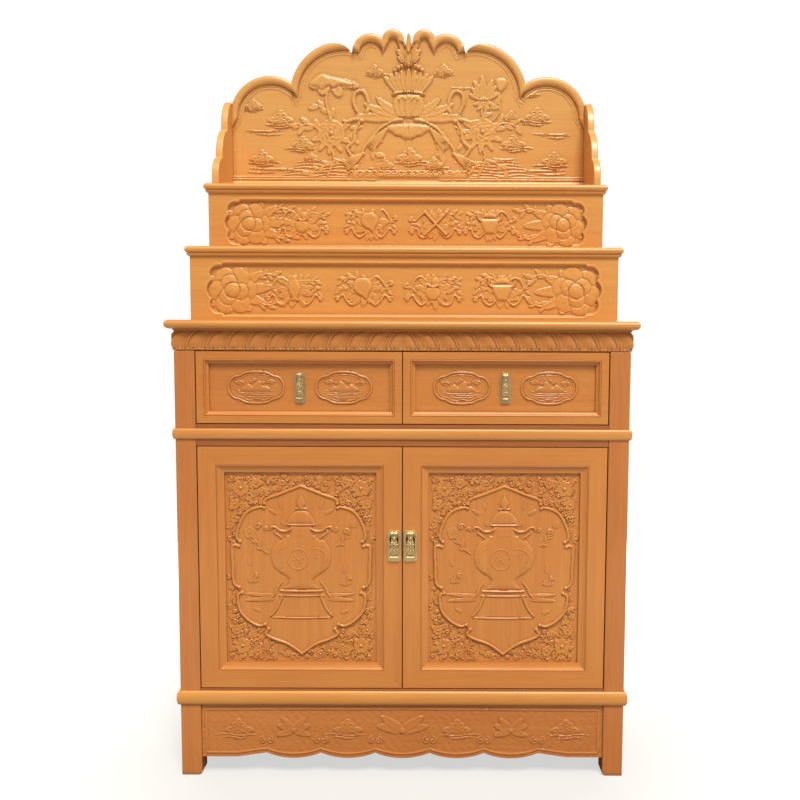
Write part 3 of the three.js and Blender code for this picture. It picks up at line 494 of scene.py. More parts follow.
# %% A carving: heights over a grid
class Carving:
    def __init__(self, x, y, z=None):
        self.x = x
        self.y = y
        self.z = np.zeros(x.shape) if z is None else z

    def window(self, points, reach):
        """The part of the carving round some points; what is cut there is cut in the whole."""
        low = np.min(points, axis=0) - reach
        high = np.max(points, axis=0) + reach
        spot = (self.x > low[0]) & (self.x < high[0]) & (self.y > low[1]) & (self.y < high[1])
        rows = np.flatnonzero(spot.any(axis=1))
        columns = np.flatnonzero(spot.any(axis=0))
        if not len(rows):
            return Carving(np.zeros((0, 0)), np.zeros((0, 0)))
        cut = (slice(rows[0], rows[-1] + 1), slice(columns[0], columns[-1] + 1))
        return Carving(self.x[cut], self.y[cut], self.z[cut])

    def near(self, path):
        """The distance of each place from a path, and how far along the path the nearest point is."""
        run = np.concatenate([[0.0], np.cumsum(np.hypot(*np.diff(path, axis=0).T))])
        run /= run[-1]
        nearest = np.full(self.x.shape, 1e6)
        along = np.zeros(self.x.shape)
        for k, ((ax, ay), (bx, by)) in enumerate(zip(path[:-1], path[1:])):
            length = max((bx - ax) ** 2 + (by - ay) ** 2, 1e-9)
            dx, dy = self.x - ax, self.y - ay
            t = np.clip((dx * (bx - ax) + dy * (by - ay)) / length, 0, 1)
            away = np.hypot(dx - t * (bx - ax), dy - t * (by - ay))
            closer = away < nearest
            nearest = np.where(closer, away, nearest)
            along = np.where(closer, run[k] + t * (run[k + 1] - run[k]), along)
        return nearest, along

    def inside(self, outline):
        """Which places a closed outline encloses."""
        odd = np.zeros(self.x.shape, bool)
        for (ax, ay), (bx, by) in zip(outline, np.roll(outline, -1, axis=0)):
            if ay != by:
                crossing = (bx - ax) * (self.y - ay) / (by - ay) + ax
                odd ^= ((ay > self.y) != (by > self.y)) & (self.x < crossing)
        return odd

    def edge_of(self, outline):
        """Distance inwards from a closed outline, negative outside it."""
        away, _ = self.near(np.vstack([outline, outline[:1]]))
        return np.where(self.inside(outline), away, -away)

    def lay(self, edge, height, moat=0.8, gap=2.5):
        """Lay a motif over the carving, and sink a channel round it."""
        outside = (edge <= 0) & (edge > -gap)
        self.z[outside] -= moat * (1 + edge[outside] / gap) ** 2
        within = edge > 0
        self.z[within] = height[within]

    def pillow(self, outline, height, base=0.0, roll=4.0, moat=0.8, gap=2.5):
        """A motif with a rounded rim and a nearly flat top."""
        outline = np.array(outline, float)
        part = self.window(outline, gap + 1)
        edge = part.edge_of(outline)
        rise = np.clip(edge / roll, 0, 1)
        part.lay(edge, base + height * np.sqrt(rise * (2 - rise)), moat, gap)

    def cord(self, path, radius, height, ends=(1.0, 1.0), moat=0.5, base=0.0, flat=0.0):
        """A rounded strand along a path, thinner towards each end if asked."""
        for first in range(0, len(path) - 1, 16):
            self.cord_part(path, first, min(first + 16, len(path) - 1), radius, height, ends, moat, base,
                           flat)

    def cord_part(self, path, first, last, radius, height, ends, moat, base, flat):
        """A short stretch of a strand, so that only the places near it are worked out."""
        part = self.window(path[first : last + 1], radius + 2.5)
        if not part.x.size:
            return
        away, share = part.near(path[first : last + 1])
        along = (first + share * (last - first)) / (len(path) - 1)
        end = np.where(along < 0.5, ends[0], ends[1])
        size = radius * (end + (1 - end) * np.sqrt(np.clip(1 - np.abs(2 * along - 1), 0, 1)))
        ratio = np.clip((away / np.maximum(size, 0.05) - flat) / (1 - flat), 0, 1)
        rise = base + height * np.sqrt(size / radius) * np.sqrt(1 - ratio**2)
        beside = (away >= size) & (away < size + 2.0) & (part.z < base + height * 0.7)
        deepest = part.z[beside] - moat * (1 - (away - size)[beside] / 2.0) ** 2
        part.z[beside] = np.maximum(deepest, np.minimum(part.z[beside], base - moat))
        covered = away < size
        part.z[covered] = np.maximum(part.z[covered], rise[covered])

    def groove(self, path, width, depth, ends=(0.3, 0.3)):
        """A cut with a rounded bottom along a path."""
        part = self.window(path, width)
        if not part.x.size:
            return
        away, along = part.near(path)
        end = np.where(along < 0.5, ends[0], ends[1])
        size = width / 2 * (end + (1 - end) * np.sqrt(np.clip(1 - np.abs(2 * along - 1), 0, 1)))
        part.z -= depth * np.clip(1 - (away / size) ** 2, 0, 1)

    def ball(self, centre, radius, height, base=0.0, moat=0.6):
        """A round boss with a channel round it."""
        part = self.window([centre], radius + 2.5)
        away = np.hypot(part.x - centre[0], part.y - centre[1])
        rise = base + height * np.sqrt(np.clip(1 - (away / radius) ** 2, 0, 1))
        part.lay(radius - away, rise, moat, 2.0)

    def curl(self, centre, radius, thick=2.4, height=2.6, turns=1.1, start=90.0, hand=1, base=0.0):
        """A spiral strand with a bead at its eye."""
        self.cord(curl_path(centre, radius, turns, start, hand), thick, height, (0.8, 0.9), 0.5, base)
        self.ball(centre, thick * 1.1, height * 1.05, base, 0.2)

    def petal(self, foot, length, width, turn, height, base=0.0, dish=0.35, full=0.6, bend=0.0, veins=0,
              moat=0.8, lobes=0):
        """A petal or leaf from its foot outwards: round rim, hollow middle, and veins if asked."""
        c, s = math.cos(math.radians(turn)), math.sin(math.radians(turn))
        reach = max(length, width) * (1.1 + abs(bend))
        part = self.window([foot, (foot[0] + length * c, foot[1] + length * s)],
                           width * 0.6 + reach * abs(bend) + 2.5)
        if not part.x.size:
            return
        u = ((part.x - foot[0]) * c + (part.y - foot[1]) * s) / length
        v = (part.y - foot[1]) * c - (part.x - foot[0]) * s - bend * length * np.clip(u, 0, 1.2) ** 2
        span = np.clip(u, 0, 1) ** full
        half = width / 2 * np.sqrt(4 * span * (1 - span))
        if lobes:
            half = half * (1 - 0.10 * np.abs(np.sin(np.pi * lobes * u)))
        off_end = length * np.maximum(np.maximum(-u, u - 1), 0)
        beside = np.abs(v) - half
        edge = np.where(off_end > 0, -np.hypot(off_end, np.maximum(beside, 0)), -beside)
        across = np.clip(np.abs(v) / np.maximum(half, 0.01), 0, 1)
        form = np.sqrt(1 - across**5 * 0.96) * (1 - dish * (1 - across**2))
        form = form * (0.7 + 0.3 * np.clip(u, 0, 1))
        if veins:
            form -= 0.12 * np.clip(1 - np.abs(v) / 0.9, 0, 1)
            line = np.abs(((u * length - np.abs(v) * 0.9) / (length / veins)) % 1 - 0.5)
            form -= 0.09 * np.clip(1 - line / 0.16, 0, 1) * (np.abs(v) > 0.9)
        part.lay(edge, base + height * form, moat, 2.2)

    def bloom(self, centre, radius, height, base=0.0, rings=((1.0, 7), (0.72, 6), (0.45, 5)), turn=0.0,
              seeds=6):
        """A layered flower: rings of broad dished petals, the inner ones higher, round a seed head."""
        for level, (reach, petals) in enumerate(rings):
            for k in range(petals):
                angle = turn + 17 * level + 360 * (k + 0.5 * (level % 2)) / petals
                rise = height * (0.5 + 0.5 * (level + 1) / len(rings))
                self.petal(centre, radius * reach, radius * reach * 7.4 / petals, angle, rise, base, dish=0.5,
                           full=1.5, moat=1.0)
        self.ball(centre, radius * 0.17, height * 1.05, base, 1.0)
        for k in range(seeds):
            angle = math.radians(360 / seeds * k + turn)
            spot = (centre[0] + radius * 0.1 * math.cos(angle), centre[1] + radius * 0.1 * math.sin(angle))
            self.ball(spot, radius * 0.05, height * 1.12, base, 0.0)


# %% Turn a carving into a solid board
def local_mean(values, cells):
    """The mean over a square of neighbours, by running sums."""
    for axis in (0, 1):
        margins = [(cells + 1, cells) if side == axis else (0, 0) for side in (0, 1)]
        sums = np.cumsum(np.pad(values, margins, mode="edge"), axis=axis)
        ahead = np.take(sums, range(2 * cells + 1, sums.shape[axis]), axis=axis)
        behind = np.take(sums, range(0, sums.shape[axis] - 2 * cells - 1), axis=axis)
        values = (ahead - behind) / (2 * cells + 1)
    return values


def hollowness(height, deep):
    """How far each place lies below its near and wider surroundings, about -1 to 1."""
    near = local_mean(height, 2) - height
    wide = local_mean(height, 6) - height
    return np.clip((0.6 * near + 0.5 * wide) / deep, -1, 1)


def carved_board(name, front, back_low, back_high, hollow, material, *nodes):
    """A closed board: the carved front grid, plain edges, and a flat back."""
    rows, columns = front.shape[:2]
    points = np.vstack([front.reshape(-1, 3), back_low, back_high]) * MM
    grid = np.arange(rows * columns).reshape(rows, columns)
    low = rows * columns + np.arange(columns)
    high = low + columns
    quads = [
        np.stack([grid[:-1, :-1], grid[:-1, 1:], grid[1:, 1:], grid[1:, :-1]], axis=-1).reshape(-1, 4),
        np.stack([grid[0, :-1], low[:-1], low[1:], grid[0, 1:]], axis=-1),
        np.stack([grid[-1, :-1], grid[-1, 1:], high[1:], high[:-1]], axis=-1),
        np.stack([low[:-1], high[:-1], high[1:], low[1:]], axis=-1),
    ]
    faces = np.vstack(quads).tolist()
    faces.append([*grid[:, 0].tolist(), int(high[0]), int(low[0])])
    faces.append([int(low[-1]), int(high[-1]), *grid[::-1, -1].tolist()])
    mesh = bpy.data.meshes.new(name)
    mesh.from_pydata(points.tolist(), [], faces)
    # The wood paints its hollows darker by this, as stain and painted shade, and its crests paler as a
    # painted highlight; the brass darkens its hollows with patina by it
    depths = mesh.attributes.new("hollow", "FLOAT", "POINT")
    values = np.concatenate([hollow.ravel(), np.zeros(2 * columns)]).astype(np.float32)
    depths.data.foreach_set("value", values)
    piece = new_object(name, mesh)
    activate(piece)
    bpy.ops.object.shade_smooth_by_angle(angle=math.radians(65))
    dress(piece, material, *nodes)
    print(name, "has", 2 * len(mesh.polygons), "triangles")
    return piece


def rectangle_grid(width, height, pitch):
    """Places about pitch apart over a rectangle with its middle at the origin."""
    across = np.linspace(-width / 2, width / 2, int(round(width / pitch)) + 1)
    upward = np.linspace(-height / 2, height / 2, int(round(height / pitch)) + 1)
    return np.meshgrid(across, upward)


def flat_panel(name, carving, centre, face, thickness, material, node, deep=1.4):
    """A carved panel that faces the front, with a flat back."""
    x, y, z = carving.x + centre[0], carving.y + centre[1], carving.z
    front = np.stack([x, face - z, y], axis=-1)
    back = np.full(x.shape[1], face + thickness)
    back_low = np.stack([x[0], back, y[0]], axis=-1)
    back_high = np.stack([x[-1], back, y[-1]], axis=-1)
    return carved_board(name, front, back_low, back_high, hollowness(z, deep), material, node)


# %% [markdown]
# ## The door panels
#
# Each door frames one carved panel: a covered urn on a stand in a pointed, lobed cartouche whose
# outline is a round cord with curled ends, and vines that fill the four corners. The strokes are
# marked as a carver would mark them, from the middle of the panel.

# %% Helpers for plants, clouds and ribbons
def vine(carving, marks, leaf=13.0, radius=2.0, height=2.6, base=0.4, every=13.0, seed=1):
    """A stem with leaves on both sides that thins towards its tip."""
    draw = np.random.default_rng(seed)
    path = flowing(marks)
    run = np.concatenate([[0.0], np.cumsum(np.hypot(*np.diff(path, axis=0).T))])
    for k, at in enumerate(np.arange(every * 0.6, run[-1], every)):
        spot = min(int(np.searchsorted(run, at)), len(path) - 2)
        step = path[spot + 1] - path[spot]
        angle = math.degrees(math.atan2(step[1], step[0]))
        side = 1 if k % 2 else -1
        size = leaf * draw.uniform(0.8, 1.15)
        carving.petal(path[spot], size, size * 0.55, angle + side * draw.uniform(38, 62), height, base,
                      dish=0.3,
                      bend=-side * 0.2, veins=4)
    carving.cord(path, radius, height * 0.9, (1.0, 0.5), 0.4, base)


def blossom(carving, centre, radius, height=3.2, base=0.6, turn=0.0, petals=5):
    """A small open flower of round petals."""
    for k in range(petals):
        carving.petal(centre, radius, radius * 5.2 / petals, turn + 360 * k / petals, height, base, dish=0.5,
                      full=1.3)
    carving.ball(centre, radius * 0.24, height * 1.1, base)


def cloud(carving, at, size=1.0, flip=1, height=2.6, base=0.2, tail=46.0, puffs=4):
    """Curls heaped on a common foot, with long streaks to one side."""
    heap = (((-17, 0), 7.5, 1), ((17, 0), 7.5, -1), ((-6, 7), 9.0, 1), ((8, 8), 8.0, -1), ((0, 15), 6.5, 1))
    foot = placed([(-24, -4), (-26, 3), (-16, 8), (0, 12), (16, 8), (26, 3), (24, -4), (0, -7)], at, 0, size,
                  flip)
    carving.pillow(flowing(foot, True), height * 0.6, base, roll=4 * size)
    for spot, radius, hand in heap[:puffs]:
        centre = placed([spot], at, 0, size, flip)[0]
        start = 250 if hand * flip > 0 else -70
        carving.curl(centre, radius * size, 2.1 * size, height, 1.3, start, hand * flip, base)
    for drop, start, end in ((-8, -30, 1.0), (-13, -12, 0.7)):
        line = [(start, drop), (0, drop - 1.5), (tail * 0.6 * end, drop + 1.5), (tail * end, drop - 0.5)]
        carving.cord(flowing(placed(line, at, 0, size, flip)), 1.8 * size, height * 0.85, (0.3, 0.15), 0.5,
                     base)


def streaks(carving, at, lengths, height=2.2, base=0.2, gap=5.0):
    """Thin drifting lines of mist or water, one above the other."""
    for k, (start, end) in enumerate(lengths):
        low = at[1] - gap * k
        line = [(at[0] + start, low), (at[0] + (start + end) / 2, low + (2 if k % 2 else -2)),
                (at[0] + end, low)]
        carving.cord(flowing(line), 1.7, height, (0.2, 0.2), 0.4, base)


def ribbon(carving, marks, width=3.4, height=2.4, base=0.3, split=True):
    """A flat band with a groove down its middle, forked at the end."""
    path = flowing(marks)
    carving.cord(path, width, height, (0.8, 0.75), 0.7, base, flat=0.5)
    carving.groove(path, width * 0.6, 0.9)
    if split:
        step = path[-1] - path[-3]
        angle = math.degrees(math.atan2(step[1], step[0]))
        for turn in (-24, 24):
            tip = placed([(0, 0), (width * 1.6, 0), (width * 3.0, 1.5 * np.sign(turn))], path[-1],
                         angle + turn)
            carving.cord(flowing(tip), width * 0.55, height * 0.85, (1.0, 0.3), 0.4, base)


def tassel(carving, start, end, width, height, base):
    """A bundle of threads that fans out from a knot."""
    (ax, ay), (bx, by) = start, end
    length = math.hypot(bx - ax, by - ay)
    across = np.array([-(by - ay), bx - ax]) / length
    for k in np.linspace(-1, 1, 5):
        tip = np.array([bx, by]) + across * k * width
        middle = (np.array([ax, ay]) + tip) / 2 + across * k * width * 0.25
        carving.cord(flowing([start, middle, tip]), width * 0.24, height, (0.8, 0.7), 0.5, base)
    carving.ball(start, width * 0.42, height * 1.15, base)


def foliage(carving, low, high, allowed, pitch=14.0, size=12.0, height=3.2, base=0.0, seed=1):
    """Leaves, curls and small flowers crowded over an area, each a little different."""
    draw = np.random.default_rng(seed)
    for row, y in enumerate(np.arange(low[1], high[1], pitch * 0.87)):
        for x in np.arange(low[0] + pitch / 2 * (row % 2), high[0], pitch):
            spot = (x + draw.uniform(-2.5, 2.5), y + draw.uniform(-2.5, 2.5))
            kind, turn, scale = draw.random(), draw.uniform(0, 360), draw.uniform(0.8, 1.15)
            if not allowed(*spot):
                continue
            if kind < 0.5:
                for k in (-1, 1, 0):
                    carving.petal(spot, size * scale, size * 0.5, turn + 55 * k,
                                  height * (0.8 + 0.2 * (k == 0)), base,
                                  dish=0.3, veins=3, moat=1.0)
            elif kind < 0.82:
                carving.curl(spot, size * 0.52 * scale, 1.9, height, 1.2, turn, 1 if kind < 0.66 else -1,
                             base)
            else:
                blossom(carving, spot, size * 0.62 * scale, height * 0.95, base, turn)


def chisel_marks(carving, depth=0.22, seed=5):
    """The ground is never quite even: the gouge leaves long shallow hollows."""
    draw = np.random.default_rng(seed)
    for _ in range(5):
        a, b = draw.uniform(0.02, 0.07, 2)
        lean, start = draw.uniform(-1, 1), draw.uniform(0, 6)
        wave = np.sin(a * (carving.x + lean * carving.y) * 6 + start) * np.sin(b * carving.y * 5 + start)
        carving.z += depth * 0.4 * wave


# %% The cartouche cord and the urn
def both_sides(half):
    """A closed outline from its right half, which runs from top to bottom."""
    half = np.array(half, float)
    return np.vstack([half, half[::-1] * (-1, 1)])


cartouche_half = [(0, 194), (12, 189), (30, 182), (55, 172), (74, 166), (82, 160), (84, 152), (84, 145),
                  (92, 143),
                  (110, 140), (128, 129), (141, 108), (149, 86), (150, 68), (148, 57), (154, 52), (160, 50),
                  (162, 30), (160, 0), (159, -25), (157, -40), (149, -52), (146, -59), (149, -66), (149, -87),
                  (142, -108), (124, -127), (102, -139), (88, -140), (80, -148), (82, -160), (65, -171),
                  (35, -182), (12, -197), (0, -207)]
# Height of the cartouche's ground above the ground of the corners
plane = 2.4


def cartouche_cord(carving, sign):
    """One half of the cord that frames the urn; sign is -1 for the left half."""
    strokes = (
        [(0, 194), (12, 189), (30, 182), (55, 172), (74, 166), (83, 160), (85, 153)],
        [(86, 141), (92, 144), (110, 140), (128, 129), (141, 108), (149, 86), (150, 70), (143, 62)],
        [(146, 51), (152, 53), (161, 50), (162, 32), (160, 0), (160, -25), (157, -40), (147, -47)],
        [(140, -60), (149, -66), (149, -87), (142, -108), (124, -127), (102, -139), (88, -137)],
        [(78, -147), (84, -160), (65, -171), (35, -182), (12, -197), (0, -207)],
    )
    for stroke in strokes:
        carving.cord(flowing(handed(sign, stroke)), 3.5, 3.6, (0.9, 0.9), 1.0, plane - 0.6)
    ends = [(85, 152), (86, 142), (143, 62), (146, 51), (146, -47), (140, -60), (87, -136), (78, -147)]
    for spot in handed(sign, ends):
        carving.ball(spot, 4.4, 4.4, plane - 0.4)


def covered_urn(carving):
    """A covered urn with a ring on its belly, on a stand."""
    body = [(26, 100), (24, 90), (25, 80), (31, 73), (56, 63), (69, 44), (71, 22), (65, 2), (50, -12),
            (36, -20),
            (28, -28), (30, -38), (40, -46), (43, -51)]
    carving.pillow(both_sides(body), 2.9, plane, roll=16)
    lid = [(0, 136), (9, 135), (20, 129), (28, 119), (33, 110), (36, 104)]
    carving.pillow(both_sides(lid), 2.8, plane, roll=11)
    carving.cord(flowing([(-38, 103), (0, 101.5), (38, 103)]), 2.2, 3.6, (0.8, 0.8), 0.6, plane)
    finial = [(0, 179), (3, 168), (9, 159), (10, 150), (6, 143), (5, 137)]
    carving.pillow(both_sides(finial), 3.2, plane, roll=6)
    carving.cord(flowing([(-13, 140), (0, 141), (13, 140)]), 2.0, 3.0, (0.7, 0.7), 0.5, plane)
    for sign in (-1, 1):
        ear = handed(sign, [(22, 93), (34, 87), (48, 88), (60, 96), (70, 97), (72, 90)])
        carving.cord(flowing(ear), 3.0, 3.4, (1.0, 0.7), 0.9, plane)
        lower = handed(sign, [(44, 70), (54, 78), (62, 84), (60, 90)])
        carving.cord(flowing(lower), 2.4, 2.8, (0.8, 0.8), 0.7, plane)
        for turn, size in ((40, 17), (75, 15), (110, 13)):
            carving.petal((sign * 40, 100), size, 7, 90 + sign * (90 - turn), 2.2, plane, dish=0.3)
        carving.curl((sign * 82, 92), 6, 1.8, 2.4, 1.2, 200, sign, plane)
    ring = curl_path((-7, 21), 24, 1.0, 0, 1, inner=1.0)
    carving.cord(ring, 2.2, 1.3, (1, 1), 0.8, plane + 2.6)
    for k in range(6):
        carving.petal((-7, 21), 15, 8, 60 * k + 15, 1.5, plane + 2.5, dish=0.3)
    carving.ball((-7, 21), 4.0, 2.0, plane + 2.6)
    carving.cord(flowing([(22, 44), (38, 46), (54, 38), (60, 24), (52, 14)]), 2.8, 1.5, (0.5, 0.8), 0.8,
                 plane + 2.3)
    carving.cord(flowing([(-36, 50), (-52, 42), (-60, 26), (-54, 10)]), 2.4, 1.4, (0.5, 0.6), 0.7,
                 plane + 2.2)
    carving.curl((38, 28), 8, 1.8, 1.4, 1.3, 30, 1, plane + 2.4)
    for turn, x, y in ((200, -34, -4), (250, -12, -12), (290, 14, -12), (335, 34, -2)):
        carving.petal((x, y), 15, 8, turn, 1.5, plane + 2.0, dish=0.3, veins=3)
    for k in range(-3, 4):
        carving.petal((k * 10, 76), 12, 8, -90 + 5 * k, 1.3, plane + 1.8, dish=0.35)
    for sign in (-1, 1):
        shawl = handed(sign, [(46, -34), (56, -48), (62, -62), (72, -74)])
        carving.cord(flowing(shawl), 3.0, 2.6, (0.7, 0.5), 0.7, plane)
        leg = handed(sign, [(46, -70), (52, -84), (60, -100), (72, -115)])
        carving.cord(flowing(leg), 3.2, 2.8, (0.8, 0.7), 0.8, plane)
        for k in range(5):
            line = [(sign * (8 + 9 * k), -70), (sign * (10 + 11 * k), -112)]
            carving.groove(flowing(line, spacing=20), 2.2, 0.8)
    carving.cord(flowing([(-50, -55), (0, -56), (48, -55)]), 2.8, 2.9, (0.8, 0.8), 0.7, plane)
    carving.cord(flowing([(-54, -66), (0, -67), (54, -66)]), 2.2, 2.4, (0.7, 0.7), 0.6, plane)
    carving.cord(flowing([(-74, -119), (0, -120), (72, -119)]), 2.4, 2.2, (0.5, 0.5), 1.0, plane)


def urn_garden(carving):
    """Leaves, clouds and small flowers beside the urn, inside the cartouche."""
    for sign, foot, far in ((-1, -64, -134), (1, 62, 124)):
        for low, bend in ((-66, 0.06), (-75, -0.05)):
            carving.petal((foot, low), abs(far - foot), 10, 0 if sign > 0 else 180, 2.0, plane, dish=0.2,
                          bend=bend * sign, veins=5)
    for x, y, seed in ((-114, -34, 3), (104, -40, 4)):
        for k, turn in enumerate((20, 60, 95, 130, 165)):
            carving.petal((x, y), 19 - abs(k - 2) * 3, 8, turn, 2.3, plane, dish=0.3, veins=3)
        carving.curl((x + 9, y + 15), 6, 1.8, 2.4, 1.2, 20 * seed, 1, plane)
    for x, y, turn in ((92, -108, 20), (-96, -104, 160), (100, -12, 80), (-120, 4, 100)):
        carving.petal((x, y), 19, 9, turn, 2.0, plane, dish=0.3, veins=4)
    vine(carving, [(-78, 34), (-94, 46), (-104, 62), (-118, 74)], 14, 1.9, 2.4, plane, 10, 6)
    blossom(carving, (-120, 84), 14, 2.6, plane, 20)
    carving.curl((-100, 98), 8, 2.0, 2.5, 1.3, 0, 1, plane)
    vine(carving, [(84, 52), (96, 62), (104, 76)], 12, 1.7, 2.3, plane, 10, 7)
    carving.curl((106, 86), 9, 2.2, 2.6, 1.5, 250, 1, plane)
    blossom(carving, (122, 104), 9, 2.3, plane, 0)
    for sign in (-1, 1):
        carving.petal((sign * 56, 128), 22, 9, 90 - sign * 60, 2.2, plane, dish=0.3, veins=4)
        carving.petal((sign * 44, 140), 20, 8, 90 - sign * 20, 2.0, plane, dish=0.3, veins=4)
    carving.groove(np.array([(15.0, -124.0), (15.0, -190.0)]), 1.4, 0.9, (1, 1))


# %% Carve both door panels
def door_carving():
    """The carving of a door panel, worked out once for both doors."""
    carving = Carving(*rectangle_grid(368.4, 467.4, 1.4))
    outline = both_sides(cartouche_half)
    edge = carving.edge_of(outline)
    chisel_marks(carving)
    sill = np.array([(0.0, 0.0)])

    def in_corner(x, y):
        sill[:] = (x, y)
        here = Carving(sill[:, :1], sill[:, 1:])
        return here.edge_of(outline)[0, 0] < -7

    foliage(carving, (-164, -212), (166, 214), in_corner, 13.5, 12.5, 3.9, -0.4, 11)
    for sign_x in (-1, 1):
        for sign_y in (-1, 1):
            spots = [(sign_x * x, sign_y * y) for x, y in ((140, 188), (104, 200), (154, 150))]
            for spot, size in zip(spots, (19, 12, 12)):
                blossom(carving, spot, size, 4.4, 0.0, 25 * sign_x + 10 * sign_y)
    inner = np.clip((edge + 1.0) / 2.0, 0, 1)
    carving.z = carving.z * (1 - inner) + (plane + 0.3 * carving.z.clip(-0.3, 0.3)) * inner
    urn_garden(carving)
    covered_urn(carving)
    for sign in (-1, 1):
        cartouche_cord(carving, sign)
    hidden = (np.abs(carving.x) > 175) | (np.abs(carving.y) > 224)
    carving.z[hidden] = 0
    carving.z = np.clip(carving.z, -1.6, 6.9)
    return carving


door_panel_carving = door_carving()
door_panel_face = -207.7
for side, sign in (("left", -1), ("right", 1)):
    flat_panel(f"door_{side}_carved_panel", door_panel_carving, (sign * 237.5, 500), door_panel_face, 8,
               wood["leaf_upright"], f"door_{side}_panel")

# %% [markdown]
# ## The drawer panels
#
# Each drawer panel carries two small lobed cartouches, one on each side of its pull, with a scene
# of water, rocks and clouds cut very shallow inside a cord.


# %% Carve the drawer panels
def small_cartouche(carving, middle, flip):
    """A lobed cartouche with rocks and clouds over water."""
    shift = np.array([middle, 0.0])
    outline = flowing([(-64, 0), (-60, 15), (-50, 24), (-38, 27), (-24, 34), (0, 36), (24, 34), (38, 27),
                       (50, 24),
                       (60, 15), (64, 0), (60, -15), (50, -24), (38, -27), (24, -34), (0, -36), (-24, -34),
                       (-38, -27), (-50, -24), (-60, -15)], closed=True)
    carving.cord(outline + shift, 2.3, 2.5, (1, 1), 0.8, 0.2)
    carving.cord(outline * (0.9, 0.84) + shift, 1.3, 1.2, (1, 1), 0.5, 0.0)

    def at(points):
        return placed(points, (middle, 0), 0, 1, flip)

    for low, start, end in ((-7, -48, 46), (-12, -44, 30), (-16, -34, 42), (-21, -26, 28), (-25, -14, 18)):
        streaks(carving, at([(0, low)])[0], [(start * flip, end * flip)], 1.5, 0.1)
    rock = [(-32, -7), (-26, 3), (-16, 8), (-9, 2), (0, 12), (9, 15), (15, 4), (24, 3), (31, -7)]
    carving.pillow(flowing(at(rock), closed=True), 2.0, 0.2, roll=5, moat=0.6)
    for x, y, size in ((-10, 10, 9), (-4, 14, 8), (16, 8, 8)):
        for turn in (50, 90, 130):
            carving.petal(at([(x, y)])[0], size, 4.5, turn, 2.0, 0.3, dish=0.3)
    for x, y in ((34, 14), (-38, 12)):
        cloud(carving, at([(x, y)])[0], 0.42, flip, 1.9, 0.1, 30, 3)


drawer_carving = Carving(*rectangle_grid(420.4, 112.4, 1.3))
chisel_marks(drawer_carving, 0.15, 8)
for middle, flip in ((-101, 1), (101, -1)):
    small_cartouche(drawer_carving, middle, flip)
for side, sign in (("left", -1), ("right", 1)):
    flat_panel(f"drawer_{side}_carved_panel", drawer_carving, (sign * 237.5, 922.5), -207.7, 8,
               wood["leaf_level"], f"drawer_{side}_panel")

# %% [markdown]
# ## The step risers
#
# The front of each step is a board with a long sunk cartouche. A large flower fills each end, and
# treasures tied with ribbons stand between them.


# %% Treasures for the risers
# Depth of the sunk ground below the face of the board
field_depth = -6.5


